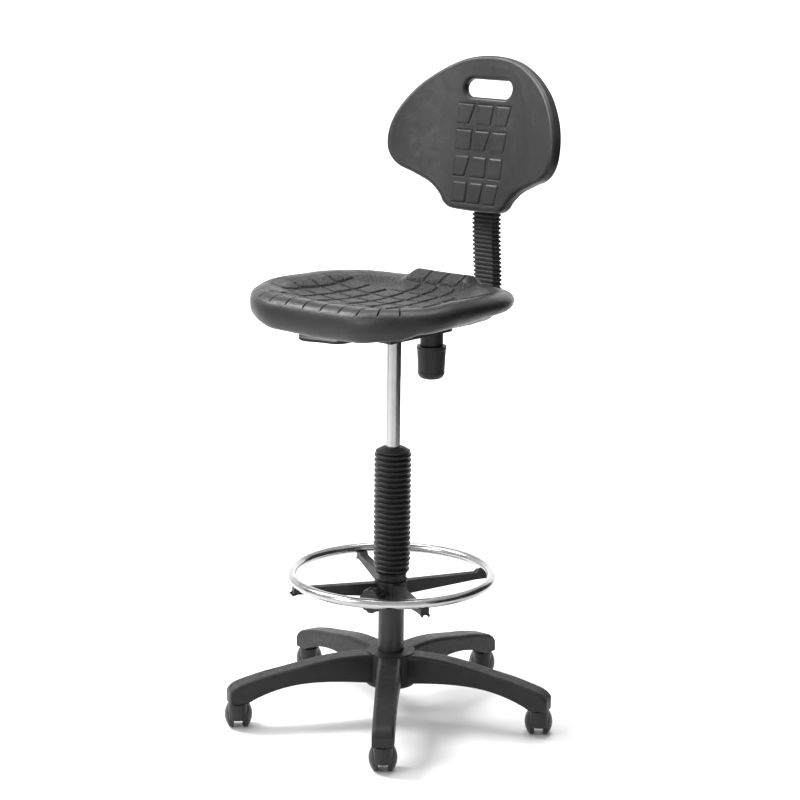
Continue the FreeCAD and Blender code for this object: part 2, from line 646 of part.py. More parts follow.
# ---------------------------------------------------------------- back bracket and tension knob
def back_bracket():
    """Steel channel on the tilt pin: two ears, a floor for the tension screw and the bar's socket."""
    ear_x, ear_wall = 33.0, 3.0
    socket_half = BAR_WIDTH / 2 + 0.4
    wall_half = socket_half + 3.0
    step_y = 120.0
    rear_y = 214.0
    floor_low, floor_high = 750.0, 754.0
    ear_side = polygon([Vector(0, TILT_Y, 754), Vector(0, 60, floor_low), Vector(0, step_y, floor_low),
                        Vector(0, step_y, 774), Vector(0, TILT_Y, 774)])
    ear = fused([ear_side.extrude(Vector(ear_wall, 0, 0)),
                 Part.makeCylinder(10, ear_wall, Vector(0, TILT_Y, TILT_Z), X_AXIS)])
    pieces = [moved(ear, Vector(ear_x - ear_wall, 0, 0)), moved(ear, Vector(-ear_x, 0, 0)),
              box(-ear_x, ear_x, 64, step_y, floor_low, floor_high)]
    for side in (-1, 1):
        near, far = sorted((side * socket_half, side * wall_half))
        pieces.append(box(near, far, step_y - 3, rear_y, floor_low, 765))
        inner, outer = sorted((side * socket_half, side * ear_x))
        pieces.append(box(inner, outer, step_y - 3, step_y, floor_low, 774))
    pieces.append(box(-wall_half, wall_half, step_y - 3, rear_y, floor_low, floor_high))
    pieces.append(box(-wall_half, wall_half, 150, rear_y, 762.2, 765.2))
    bracket = fused(pieces)
    cuts = [Part.makeCylinder(TILT_PIN_R + RUNNING, 100, Vector(-50, TILT_Y, TILT_Z), X_AXIS),
            cylinder(SCREW_R + SNUG, 740, 760, 0, KNOB_Y)]
    for y in UPRIGHT_BOLT_Y:
        cuts.append(cylinder(BOLT_R + SNUG, 740, 780, 0, y))
    return bracket.cut(fused(cuts))


def upright_bolts():
    bolts = []
    for y in UPRIGHT_BOLT_Y:
        bolts.append(fused([hexagon(7.5, 0, y, 765.2, 5), cylinder(BOLT_R, 748.5, 766, 0, y)]))
    return solids_of(bolts)


def bar_centreline():
    """Key points (y, z) of the bar: start, both bends and the top; directions lean as named above."""
    lean = math.radians(BAR_LEAN_FORWARD)
    back = math.radians(BACK_LEAN)
    bend_centre = Vector(0, BAR_BEND_Y, BAR_Z + BAR_BEND_R)
    after_bend = bend_centre + Vector(0, math.cos(lean), math.sin(lean)) * BAR_BEND_R
    forward = Vector(0, -math.sin(lean), math.cos(lean))
    rise = (BAR_CURVE_START_Z - after_bend.z) / forward.z
    curve_start = after_bend + forward * rise
    curve_centre = curve_start + Vector(0, math.cos(lean), math.sin(lean)) * BAR_CURVE_R
    curve_end = curve_centre + Vector(0, -math.cos(back), math.sin(back)) * BAR_CURVE_R
    along_back = Vector(0, math.sin(back), math.cos(back))
    top = curve_end + along_back * ((BAR_TOP_Z - curve_end.z) / along_back.z)
    return {"bend_centre": bend_centre, "after_bend": after_bend, "curve_start": curve_start,
            "curve_centre": curve_centre, "curve_end": curve_end, "top": top, "forward": forward}


def arc_point(centre, radius, degrees):
    angle = math.radians(degrees)
    return centre + Vector(0, math.cos(angle), math.sin(angle)) * radius


def back_upright():
    """Flat steel bar bent from under the seat up to the backrest."""
    line = bar_centreline()
    bend = line["bend_centre"]
    curve = line["curve_centre"]
    start = Vector(0, BAR_START_Y, BAR_Z)
    bend_start = Vector(0, BAR_BEND_Y, BAR_Z)
    bend_middle = arc_point(bend, BAR_BEND_R, -45 + BAR_LEAN_FORWARD / 2)
    curve_middle = arc_point(curve, BAR_CURVE_R, 180 - (BACK_LEAN - BAR_LEAN_FORWARD) / 2)
    path = Part.Wire([Part.LineSegment(start, bend_start).toShape(),
                      Part.Arc(bend_start, bend_middle, line["after_bend"]).toShape(),
                      Part.LineSegment(line["after_bend"], line["curve_start"]).toShape(),
                      Part.Arc(line["curve_start"], curve_middle, line["curve_end"]).toShape(),
                      Part.LineSegment(line["curve_end"], line["top"]).toShape()])
    half_w, half_t = BAR_WIDTH / 2, BAR_THICK / 2
    profile = Part.makePolygon([Vector(x, BAR_START_Y, BAR_Z + z) for x, z in
                                ((-half_w, -half_t), (half_w, -half_t), (half_w, half_t),
                                 (-half_w, half_t), (-half_w, -half_t))])
    bar = path.makePipeShell([profile], True, False)
    for y in UPRIGHT_BOLT_Y:
        bar = bar.cut(cylinder(BOLT_R + SNUG, 740, 780, 0, y))
    return bar


def bar_y_at(z):
    """Middle of the bar's thickness at a height above its lower bend."""
    line = bar_centreline()
    if z <= BAR_CURVE_START_Z:
        slope = -math.tan(math.radians(BAR_LEAN_FORWARD))
        return line["after_bend"].y + (z - line["after_bend"].z) * slope
    if z <= line["curve_end"].z:
        drop = z - line["curve_centre"].z
        return line["curve_centre"].y - math.sqrt(BAR_CURVE_R ** 2 - drop ** 2)
    return line["curve_end"].y + (z - line["curve_end"].z) * math.tan(math.radians(BACK_LEAN))


def stem_bellows():
    """Corrugated rectangular sleeve round the bar, following its lean."""
    count = int((CARRIER_LOW - 4.0 - SLEEVE_LOW) / SLEEVE_PITCH)

    corner_r = 3.2

    def ring(half_x, half_y, z):
        middle = bar_y_at(max(z, BAR_BEND_R + BAR_Z))
        wire = rounded_rectangle(-half_x, half_x, -half_y, half_y, corner_r, corner_r, z)
        return moved(wire, Vector(0, middle, 0))

    root, crest, bore = (23.2, 11.4), (26.2, 14.4), (20.4, 9.5)
    top = SLEEVE_LOW + count * SLEEVE_PITCH
    outside = []
    for i in range(count):
        low = SLEEVE_LOW + i * SLEEVE_PITCH
        outside += [ring(*root, low), ring(*crest, low + SLEEVE_PITCH * 0.35),
                    ring(*crest, low + SLEEVE_PITCH * 0.6)]
    outside.append(ring(*root, top))
    inside = [ring(*bore, SLEEVE_LOW - 1 + (top - SLEEVE_LOW + 2) * k / 8.0) for k in range(9)]
    return Part.makeLoft(outside, True, True).cut(Part.makeLoft(inside, True, True))


def tension_screw():
    return fused([hexagon(9, 0, KNOB_Y, 754.2, 6), cylinder(SCREW_R, 672, 755, 0, KNOB_Y)])


def tension_sleeve():
    """Plastic tube that hides the spring; its lower end slides inside the knob's cup."""
    return tube(22.5, 19.5, 708, 749.8, 0, KNOB_Y)


def tension_spring():
    helix = Part.makeHelix(SPRING_PITCH, SPRING_HIGH - SPRING_LOW - 2 * SPRING_WIRE_R, SPRING_COIL_R)
    profile = Part.Wire([Part.makeCircle(SPRING_WIRE_R, Vector(SPRING_COIL_R, 0, 0), Y_AXIS)])
    coil = Part.Wire(helix.Edges).makePipeShell([profile], True, True)
    return moved(coil, Vector(0, KNOB_Y, SPRING_LOW + SPRING_WIRE_R))


def tension_washer():
    return tube(21.0, SCREW_R + 0.3, KNOB_FLOOR + 0.2, KNOB_FLOOR + 3, 0, KNOB_Y)


def tension_knob():
    """Fluted cup knob with a plain rim, rounded at its foot; it turns on the screw."""
    foot_r, waist_r, rim = 15.0, 26.2, 8.0
    profile = [Vector(foot_r, 0, KNOB_LOW), Vector(waist_r, 0, KNOB_LOW + 15),
               Vector(KNOB_R - 0.9, 0, KNOB_HIGH - rim), Vector(KNOB_R, 0, KNOB_HIGH - rim + 1),
               Vector(KNOB_R, 0, KNOB_HIGH), Vector(0, 0, KNOB_HIGH), Vector(0, 0, KNOB_LOW)]
    edges = [Part.Arc(profile[0], Vector(23.6, 0, KNOB_LOW + 4.8), profile[1]).toShape()]
    for start, end in zip(profile[1:], profile[2:] + profile[:1]):
        edges.append(Part.LineSegment(start, end).toShape())
    knob = Part.Face(Part.Wire(edges)).revolve(Vector(0, 0, 0), UP, 360)
    flute_r = 2.6
    for i in range(KNOB_FLUTES):
        place = polar(KNOB_R + 0.9, 360.0 / KNOB_FLUTES * i)
        knob = knob.cut(cylinder(flute_r, KNOB_LOW - 1, KNOB_HIGH - rim - 1, place.x, place.y))
    knob = knob.cut(cylinder(KNOB_BORE_R, KNOB_FLOOR, KNOB_HIGH + 1))
    knob = knob.cut(cylinder(SCREW_R + RUNNING, 664, KNOB_FLOOR + 1))
    return moved(knob, Vector(0, KNOB_Y, 0))


# ---------------------------------------------------------------- backrest
def back_axes():
    lean = math.radians(BACK_LEAN)
    along = Vector(0, math.sin(lean), math.cos(lean))
    rearward = Vector(0, math.cos(lean), -math.sin(lean))
    return along, rearward


def back_cylinder(radius):
    """Solid cylinder about the backrest's axis of curvature, which stands in front of it."""
    along, rearward = back_axes()
    middle = Vector(0, BACK_FACE_Y, BACK_MID_Z) - rearward * BACK_CURVE_R
    return Part.makeCylinder(radius, 400, middle - along * 200, along)


def backrest_pad():
    """Egg-shaped pad with a narrow neck at the bottom, wings curving forwards and a hand slot."""
    right = [Vector(x, 0, z) for x, z in BACK_HALF_OUTLINE]
    left = [Vector(-x, 0, z) for x, z in reversed(BACK_HALF_OUTLINE[1:-1])]
    prism = Part.Face(Part.Wire([curve_through(right + left, True)])).extrude(Vector(0, 400, 0))
    slot = rounded_slot(SLOT_LENGTH, SLOT_HEIGHT, SLOT_Z)
    shell = back_cylinder(BACK_CURVE_R + BACK_THICK).cut(back_cylinder(BACK_CURVE_R))
    return shell.common(prism.cut(slot))


def rounded_slot(length, height, z):
    r = height / 2 - 0.01
    half = length / 2 - r
    straight = box(-half, half, 0, 500, z - r, z + r)
    ends = [Part.makeCylinder(r, 500, Vector(x, 0, z), Y_AXIS) for x in (-half, half)]
    return fused([straight] + ends)


def in_back_frame(shape):
    """Carry a shape built with X across, Y rearward from the pad's back and Z along the back."""
    copy = shape.copy()
    copy.rotate(Vector(0, 0, 0), X_AXIS, -BACK_LEAN)
    _, rearward = back_axes()
    copy.translate(Vector(0, BACK_FACE_Y, BACK_MID_Z) + rearward * BACK_THICK)
    return copy


def bar_distance():
    """From the pad's back to the middle of the bar, square to the back."""
    _, rearward = back_axes()
    surface = Vector(0, BACK_FACE_Y, BACK_MID_Z) + rearward * BACK_THICK
    return (bar_centreline()["curve_end"] - surface).dot(rearward)


def along_back(z):
    """Distance along the back from its middle, for a height on the bar."""
    return (z - BACK_MID_Z) / math.cos(math.radians(BACK_LEAN))


def backrest_carrier():
    """Moulded bracket: a flange on the pad and a box that slides on the bar."""
    depth = bar_distance()
    half_x, half_t = BAR_WIDTH / 2, BAR_THICK / 2
    low, high = along_back(CARRIER_LOW), along_back(CARRIER_HIGH)
    flange = box(-44, 44, -4, 6, low - 2, high + 22)
    flange = flange.makeFillet(10, [e for e in flange.Edges if abs(e.BoundBox.YLength - 10) < 0.01])
    body = box(-26, 26, 3, depth + half_t + 4.5, low, high)
    body = body.makeFillet(5, [e for e in body.Edges if abs(e.BoundBox.ZLength - (high - low)) < 0.01
                               and e.BoundBox.YMin > 10])
    gap = 0.35
    slide = box(-half_x - gap, half_x + gap, depth - half_t - gap, depth + half_t + gap, low - 5, high + 5)
    carrier = fused([flange, body]).cut(slide)
    knob_z = (low + high) / 2
    carrier = carrier.cut(Part.makeCylinder(4 + RUNNING, 30, Vector(0, depth, knob_z), Y_AXIS))
    for x, z in CARRIER_SCREWS:
        carrier = carrier.cut(Part.makeCylinder(3 + SNUG, 30, Vector(x, -10, z), Y_AXIS))
    return in_back_frame(carrier).cut(back_cylinder(BACK_CURVE_R + BACK_THICK + SNUG))


def backrest_screws():
    screws = []
    for x, z in CARRIER_SCREWS:
        shank = Part.makeCylinder(3, 6.5, Vector(x, 0, z), Y_AXIS)
        head = Part.makeCylinder(5.5, 3, Vector(x, 6.02, z), Y_AXIS)
        screws.append(in_back_frame(fused([shank, head])))
    return solids_of(screws)


def height_knob():
    depth = bar_distance()
    wall_out = depth + BAR_THICK / 2 + 4.5
    knob = lobed_knob(19.0, wall_out + 3, wall_out + 23, 6, 6.0, 4.0, depth + BAR_THICK / 2 + 0.15)
    knob.rotate(Vector(0, 0, 0), X_AXIS, -90)
    knob.translate(Vector(0, 0, (along_back(CARRIER_LOW) + along_back(CARRIER_HIGH)) / 2))
    return in_back_frame(knob)


os.makedirs("parts", exist_ok=True)
save_castors()
PIECES = (
    star_base, column_tube, column_base_plate, column_guide_bush, thrust_bearing, thrust_race_upper,
    rubber_buffer, rod_clip, piston_rod, piston, gas_cylinder, valve_pin, column_bellows,
    bellows_top_cap, bellows_collar, foot_ring, ring_spider, ring_screws, ring_knob, seat_pad,
    seat_insert, seat_plate, seat_bolts, mechanism_housing, pivot_pin, lever_rod, lever_paddle,
    back_bracket, upright_bolts, back_upright, stem_bellows, tension_screw, tension_sleeve,
    tension_spring, tension_washer, tension_knob, backrest_pad, backrest_carrier, backrest_screws,
    height_knob)
for piece in PIECES:
    save(piece.__name__, piece())
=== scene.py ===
import json
import math
import bmesh
import bpy
import numpy as np
from mathutils import Matrix, Vector


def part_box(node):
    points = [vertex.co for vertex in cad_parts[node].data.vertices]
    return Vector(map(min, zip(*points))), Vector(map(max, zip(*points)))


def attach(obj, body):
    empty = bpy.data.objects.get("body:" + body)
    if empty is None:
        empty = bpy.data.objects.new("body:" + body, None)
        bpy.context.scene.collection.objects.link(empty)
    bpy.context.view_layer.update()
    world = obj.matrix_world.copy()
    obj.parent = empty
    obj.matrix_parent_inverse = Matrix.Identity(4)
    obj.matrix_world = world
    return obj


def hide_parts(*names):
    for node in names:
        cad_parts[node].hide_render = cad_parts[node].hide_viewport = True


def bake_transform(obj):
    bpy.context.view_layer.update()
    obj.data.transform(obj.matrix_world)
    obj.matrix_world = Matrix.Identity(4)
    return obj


# Looks of the drafting chair.  Metres, in the row frame: the sitter faces -Y, the sitter's
# left is +X, +Z is up.  Small sizes are written as a number of millimetres times MM.
MM = 0.001

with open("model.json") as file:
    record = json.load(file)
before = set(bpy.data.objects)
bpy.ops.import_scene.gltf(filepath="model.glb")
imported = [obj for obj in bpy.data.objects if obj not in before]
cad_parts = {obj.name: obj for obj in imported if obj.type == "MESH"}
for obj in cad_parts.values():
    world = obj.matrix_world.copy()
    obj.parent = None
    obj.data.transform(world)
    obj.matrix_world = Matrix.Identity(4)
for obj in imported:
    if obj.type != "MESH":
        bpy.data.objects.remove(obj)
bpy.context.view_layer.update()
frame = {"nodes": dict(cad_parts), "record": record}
record = frame["record"]


# ---------------------------------------------------------------- small helpers
def smooth(share):
    share = np.clip(share, 0.0, 1.0)
    return share * share * (3.0 - 2.0 * share)


def ramp(value, start, end):
    """0 at start, 1 at end, smooth between."""
    return smooth((value - start) / (end - start))


def node_points(node):
    mesh = frame["nodes"][node].data
    points = np.zeros(len(mesh.vertices) * 3, np.float32)
    mesh.vertices.foreach_get("co", points)
    return points.reshape(-1, 3).astype(float)


def new_object(name, points, faces, slot):
    """A smooth-shaded mesh piece with the material of a record slot."""
    mesh = bpy.data.meshes.new(name)
    mesh.from_pydata([tuple(p) for p in points], [], faces)
    mesh.update()
    mesh.polygons.foreach_set("use_smooth", [True] * len(mesh.polygons))
    piece = bpy.data.objects.new(name, mesh)
    bpy.context.scene.collection.objects.link(piece)
    piece.data.materials.append(MATERIALS[slot])
    return piece


def point_attribute(piece, name, values):
    attribute = piece.data.attributes.new(name, "FLOAT", "POINT")
    attribute.data.foreach_set("value", np.asarray(values, np.float32))


def lofted(rings, closed_ends=False):
    """Points and faces of a skin over rings that have the same number of points."""
    count = len(rings[0])
    points = [p for ring in rings for p in ring]
    faces = []
    for row in range(len(rings) - 1):
        for k in range(count):
            after = (k + 1) % count
            low, high = row * count, (row + 1) * count
            faces.append((low + k, low + after, high + after, high + k))
    if closed_ends:
        faces.append(tuple(range(count))[::-1])
        faces.append(tuple(range((len(rings) - 1) * count, len(rings) * count)))
    return points, faces


def closed_tube(rings):
    """Points and faces of a skin over rings, with the last ring joined to the first."""
    count = len(rings) * len(rings[0])
    points, faces = lofted(rings + rings[:1])
    return points[:count], [tuple(v % count for v in face) for face in faces]


def circle(r, z, segments):
    turns = np.arange(segments) * 2 * math.pi / segments
    return np.column_stack([r * np.cos(turns), r * np.sin(turns), np.full(segments, z)])


# ---------------------------------------------------------------- materials
class Shading:
    """A Principled material that is wired up from object-space noise."""

    def __init__(self, name, colour, roughness, metallic=0.0, specular=0.5):
        self.material = bpy.data.materials.new(name)
        self.material.use_nodes = True
        self.tree = self.material.node_tree
        self.shader = self.tree.nodes["Principled BSDF"]
        self.shader.inputs["Base Color"].default_value = (*colour, 1.0)
        self.shader.inputs["Roughness"].default_value = roughness
        self.shader.inputs["Metallic"].default_value = metallic
        self.shader.inputs["Specular IOR Level"].default_value = specular
        self.place = self.node("ShaderNodeTexCoord").outputs["Object"]
        self.normal = None

    def node(self, kind, **settings):
        made = self.tree.nodes.new(kind)
        for key, value in settings.items():
            setattr(made, key, value)
        return made

    def link(self, output, target):
        self.tree.links.new(output, target)

    def noise(self, scale, detail=3.0, stretch=None):
        texture = self.node("ShaderNodeTexNoise")
        texture.inputs["Scale"].default_value = scale
        texture.inputs["Detail"].default_value = detail
        if stretch is None:
            self.link(self.place, texture.inputs["Vector"])
        else:
            mapping = self.node("ShaderNodeMapping")
            mapping.inputs["Scale"].default_value = stretch
            self.link(self.place, mapping.inputs["Vector"])
            self.link(mapping.outputs["Vector"], texture.inputs["Vector"])
        return texture.outputs["Fac"]

    def cells(self, scale):
        texture = self.node("ShaderNodeTexVoronoi", feature="SMOOTH_F1")
        texture.inputs["Scale"].default_value = scale
        texture.inputs["Smoothness"].default_value = 0.35
        self.link(self.place, texture.inputs["Vector"])
        return texture.outputs["Distance"]

    def ranged(self, value, low, high, from_low=0.3, from_high=0.7):
        span = self.node("ShaderNodeMapRange")
        span.inputs["From Min"].default_value = from_low
        span.inputs["From Max"].default_value = from_high
        span.inputs["To Min"].default_value = low
        span.inputs["To Max"].default_value = high
        self.link(value, span.inputs["Value"])
        return span.outputs["Result"]

    def product(self, first, second):
        return self.combined("MULTIPLY", first, second)

    def total(self, first, second):
        return self.combined("ADD", first, second)

    def combined(self, operation, first, second):
        math_node = self.node("ShaderNodeMath", operation=operation)
        self.link(first, math_node.inputs[0])
        self.link(second, math_node.inputs[1])
        return math_node.outputs["Value"]

    def attribute(self, name):
        return self.node("ShaderNodeAttribute", attribute_name=name).outputs["Fac"]

    def two_colours(self, value, first, second):
        blend = self.node("ShaderNodeValToRGB")
        blend.color_ramp.elements[0].position = 0.3
        blend.color_ramp.elements[1].position = 0.7
        blend.color_ramp.elements[0].color = (*first, 1.0)
        blend.color_ramp.elements[1].color = (*second, 1.0)
        self.link(value, blend.inputs["Fac"])
        self.link(blend.outputs["Color"], self.shader.inputs["Base Color"])

    def roughness_between(self, value, low, high):
        self.link(self.ranged(value, low, high), self.shader.inputs["Roughness"])

    def round_edges(self, radius):
        """Catches light along the sharp edges of a machined or moulded piece."""
        bevel = self.node("ShaderNodeBevel", samples=4)
        bevel.inputs["Radius"].default_value = radius
        self.normal = bevel.outputs["Normal"]
        self.link(self.normal, self.shader.inputs["Normal"])

    def bump(self, height, distance):
        relief = self.node("ShaderNodeBump")
        relief.inputs["Distance"].default_value = distance
        self.link(height, relief.inputs["Height"])
        if self.normal is not None:
            self.link(self.normal, relief.inputs["Normal"])
        self.normal = relief.outputs["Normal"]
        self.link(self.normal, self.shader.inputs["Normal"])


def grey(value, warmth=0.0):
    return (value * (1 + warmth), value, value * (1 - warmth))


def moulded_plastic(name, tone, roughness, texture_scale, texture_depth, edge=0.5 * MM):
    """Black moulded plastic: spark-eroded texture, cloudy tone and scuffs."""
    look = Shading(name, grey(tone), roughness, specular=0.26)
    cloud = look.noise(22.0, 4.0)
    look.two_colours(cloud, grey(tone * 0.82), grey(tone * 1.18))
    look.roughness_between(look.noise(90.0, 6.0), roughness - 0.08, roughness + 0.08)
    if edge:
        look.round_edges(edge)
    look.bump(look.noise(texture_scale, 4.0), texture_depth)
    return look.material


def foam_skin():
    """Integral-skin foam: satin skin, pebbled where the piece says so, slightly mottled, with painted
    shade in its slits and block grooves.
    """
    tone = 0.015
    look = Shading("integral_foam", grey(tone), 0.4, specular=0.3)
    recess = look.attribute("recess")
    # Painted shade: where the recess attribute is 1, in slits and block grooves, the base colour falls
    # to a twentieth of its tone and the roughness rises; the mottle is random tone.
    recess_painted_shade, recess_dullness = 0.05, 0.5
    mottle = look.ranged(look.noise(14.0, 5.0), tone * 0.8, tone * 1.2)
    mottle_and_painted_shade = look.product(mottle, look.ranged(recess, 1.0, recess_painted_shade, 0.0, 1.0))
    look.link(mottle_and_painted_shade, look.shader.inputs["Base Color"])
    satin = look.ranged(look.noise(60.0, 5.0), 0.33, 0.46)
    dull = look.total(satin, look.ranged(recess, 0.0, recess_dullness, 0.0, 1.0))
    look.link(dull, look.shader.inputs["Roughness"])
    look.bump(look.noise(260.0, 3.0), 0.05 * MM)
    pebbles = look.product(look.cells(300.0), look.attribute("grain"))
    look.bump(pebbles, 3.4 * MM)
    return look.material


def chrome():
    """Polished plating over drawn tube, with fine draw lines and faint handling haze."""
    look = Shading("chrome_plate", grey(0.42, -0.005), 0.18, metallic=1.0)
    look.two_colours(look.noise(35.0, 4.0), grey(0.38), grey(0.46))
    look.roughness_between(look.noise(120.0, 5.0, (1.0, 1.0, 0.08)), 0.14, 0.26)
    look.bump(look.noise(900.0, 2.0, (1.0, 1.0, 0.02)), 0.02 * MM)
    return look.material


def plated_steel():
    look = Shading("bright_steel", grey(0.55), 0.34, metallic=1.0)
    look.two_colours(look.noise(180.0, 4.0), grey(0.46, 0.02), grey(0.6, -0.01))
    look.roughness_between(look.noise(400.0, 4.0), 0.26, 0.42)
    look.round_edges(0.3 * MM)
    look.bump(look.noise(1200.0, 3.0), 0.02 * MM)
    return look.material


def powder_coat():
    look = Shading("black_steel", grey(0.015), 0.42, specular=0.35)
    look.two_colours(look.noise(40.0, 3.0), grey(0.012), grey(0.018))
    look.roughness_between(look.noise(150.0, 4.0), 0.34, 0.48)
    look.round_edges(0.6 * MM)
    look.bump(look.noise(750.0, 2.0), 0.1 * MM)
    return look.material


def make_materials():
    return {
        "base_nylon": moulded_plastic("base_nylon", 0.013, 0.5, 1500.0, 0.09 * MM, 0.9 * MM),
        "castor_nylon": moulded_plastic("castor_nylon", 0.016, 0.46, 1800.0, 0.05 * MM, 0.5 * MM),
        "wheel_nylon": moulded_plastic("wheel_nylon", 0.018, 0.4, 1800.0, 0.05 * MM, 0.5 * MM),
        "bush_plastic": moulded_plastic("bush_plastic", 0.05, 0.5, 1400.0, 0.05 * MM),
        "sleeve_plastic": moulded_plastic("sleeve_plastic", 0.011, 0.42, 1100.0, 0.06 * MM, 0),
        "buffer_rubber": moulded_plastic("buffer_rubber", 0.02, 0.7, 700.0, 0.08 * MM),
        "knob_plastic": moulded_plastic("knob_plastic", 0.013, 0.4, 1600.0, 0.05 * MM, 0.6 * MM),
        "bright_steel": plated_steel(),
        "black_steel": powder_coat(),
        "chrome_plate": chrome(),
        "integral_foam": foam_skin(),
    }


MATERIALS = make_materials()


def dress_cad_nodes():
    """Gives every carried-over node the material of its slot in the record."""
    for subpart in record["subparts"]:
        node = frame["nodes"][subpart["node"]]
        node.data.materials.clear()
        node.data.materials.append(MATERIALS[subpart["material_slot"]])


# ---------------------------------------------------------------- flat sheets of mesh
def distance_to_loops(points, loops):
    """Distance of each flat point from the nearest side of some closed loops."""
    nearest = np.full(len(points), np.inf)
    batch = 4000
    for loop in loops:
        start, end = loop, np.roll(loop, -1, 0)
        side = end - start
        length2 = (side ** 2).sum(1)
        for low in range(0, len(points), batch):
            block = points[low:low + batch, None, :] - start[None]
            share = np.clip((block * side[None]).sum(2) / length2, 0, 1)
            gap = np.linalg.norm(block - share[..., None] * side[None], axis=2).min(1)
            nearest[low:low + batch] = np.minimum(nearest[low:low + batch], gap)
    return nearest


def inside_loop(points, loop):
    """Whether each flat point lies inside a closed loop."""
    inside = np.zeros(len(points), bool)
    for (x0, y0), (x1, y1) in zip(loop, np.roll(loop, -1, 0)):
        if y0 == y1:
            continue
        crosses = (y0 > points[:, 1]) != (y1 > points[:, 1])
        at = x0 + (points[:, 1] - y0) / (y1 - y0) * (x1 - x0)
        inside ^= crosses & (points[:, 0] < at)
    return inside


def filled_sheet(outer, holes, spacing):
    """Flat points and faces of the area inside outer and outside holes.

    The loops come first, in order, then a square grid that is stitched to them.
    """
    loops = [outer] + holes
    low, high = outer.min(0), outer.max(0)
    columns = int(math.ceil((high[0] - low[0]) / spacing / 2)) + 1
    rows = int(math.ceil((high[1] - low[1]) / spacing)) + 1
    xs = np.arange(-columns, columns + 1) * spacing + (low[0] + high[0]) / 2
    ys = low[1] + np.arange(rows + 1) * spacing
    grid = np.array([(x, y) for y in ys for x in xs])
    wanted = inside_loop(grid, outer)
    for hole in holes:
        wanted &= ~inside_loop(grid, hole)
    wanted[wanted] = distance_to_loops(grid[wanted], loops) > spacing * 0.7
    width = len(xs)
    wanted = wanted.reshape(-1, width)
    cells = wanted[:-1, :-1] & wanted[:-1, 1:] & wanted[1:, :-1] & wanted[1:, 1:]
    bm = bmesh.new()
    borders = []
    for loop in loops:
        corners = [bm.verts.new((x, y, 0)) for x, y in loop]
        borders.append([bm.edges.new((a, b)) for a, b in zip(corners, corners[1:] + corners[:1])])
    made = {}

    def corner(row, column):
        key = row * width + column
        if key not in made:
            made[key] = bm.verts.new((*grid[key], 0))
        return made[key]

    for row, column in zip(*np.nonzero(cells)):
        bm.faces.new((corner(row, column), corner(row, column + 1),
                      corner(row + 1, column + 1), corner(row + 1, column)))
    rim = [e for e in bm.edges if len(e.link_faces) == 1]
    middles = np.array([((e.verts[0].co + e.verts[1].co) / 2)[:2] for e in rim])
    nearest = np.argmin([distance_to_loops(middles, [loop]) for loop in loops], axis=0)
    for index, border in enumerate(borders):
        facing = [edge for edge, owner in zip(rim, nearest) if owner == index]
        bmesh.ops.triangle_fill(bm, use_beauty=True, edges=border + facing, normal=(0, 0, 1))
    middles = np.array([f.calc_center_median()[:2] for f in bm.faces])
    stray = ~inside_loop(middles, outer)
    for hole in holes:
        stray |= inside_loop(middles, hole)
    bm.faces.ensure_lookup_table()
    bmesh.ops.delete(bm, geom=[bm.faces[int(k)] for k in np.nonzero(stray)[0]], context="FACES_ONLY")
    bm.normal_update()
    bmesh.ops.reverse_faces(bm, faces=[f for f in bm.faces if f.normal.z < 0])
    bm.verts.index_update()
    points = np.array([v.co[:2] for v in bm.verts])
    faces = [tuple(v.index for v in f.verts) for f in bm.faces]
    bm.free()
    return points, faces


def inward_normals(loop):
    """Unit normals that point to the left of a loop's direction, which is its inside."""
    along = np.roll(loop, -1, 0) - np.roll(loop, 1, 0)
    along /= np.linalg.norm(along, axis=1)[:, None]
    return np.stack([-along[:, 1], along[:, 0]], 1)


# ---------------------------------------------------------------- raised blocks
BLOCK_EDGE = 1.5 * MM          # width of the slope at a block's edge
FOOT_HALF = 1.3 * MM           # half width of the groove at a block's foot
BLOCK_REACH_X, BLOCK_REACH_Y = 26 * MM, 29 * MM   # beyond this from its centre a block changes nothing


def block_relief(across, along, half_width, half_length, right_taper, dark_sides, rise):
    """Height of one raised block about its own centre, and how deep in a foot groove a point is.

    The right side leans in by right_taper towards the lower end. A foot groove runs along each of
    dark_sides, and how deep a point lies in it is also painted as shade into the skin's colour.
    """
    right_half = half_width - right_taper * (1 - along / half_length) / 2
    gaps = {"left": across + half_width, "right": right_half - across,
            "low": along + half_length, "high": half_length - along}
    inside = np.minimum.reduce(list(gaps.values()))
    relief = rise * ramp(inside, -0.2 * BLOCK_EDGE, 0.8 * BLOCK_EDGE)
    recess = np.zeros(np.shape(across))
    for side in dark_sides:
        others = np.minimum.reduce([gap for key, gap in gaps.items() if key != side])
        trough = np.exp(-((gaps[side] + FOOT_HALF) / FOOT_HALF) ** 2) * (others > -FOOT_HALF)
        trough = trough * (gaps[side] < 0.2 * BLOCK_EDGE)
        relief = relief - rise * trough
        recess = np.maximum(recess, trough)
    return relief, recess


# ---------------------------------------------------------------- seat
SEAT_LOW, SEAT_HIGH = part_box("seat_pad")
SEAT_HALF = SEAT_HIGH.x
SEAT_FRONT, SEAT_REAR = SEAT_LOW.y, SEAT_HIGH.y
SEAT_MIDDLE_Y = (SEAT_FRONT + SEAT_REAR) / 2
FRONT_CORNER_R, REAR_CORNER_R = 150 * MM, 168 * MM
RIM_R = 30 * MM                # how far the rolled rim reaches inwards from the outline
RIM_SQUARENESS = 2.25          # 2 is an ellipse
BASIN_Z = 36 * MM              # above the pad's lowest level
BASIN_R = 900 * MM
BLOCK_PITCH_X, BLOCK_PITCH_Y = 42.5 * MM, 50 * MM
BLOCK_HALF_X, BLOCK_HALF_Y = 18 * MM, 21.5 * MM
BLOCK_RISE = 2.2 * MM
BLOCK_TAPERS = (5.5 * MM, 0.0, 3.0 * MM)
FIRST_ROW = 72 * MM            # from the front edge to the middle of the first row of blocks
BLOCK_INSET = 46 * MM          # least distance of a block's centre from the outline
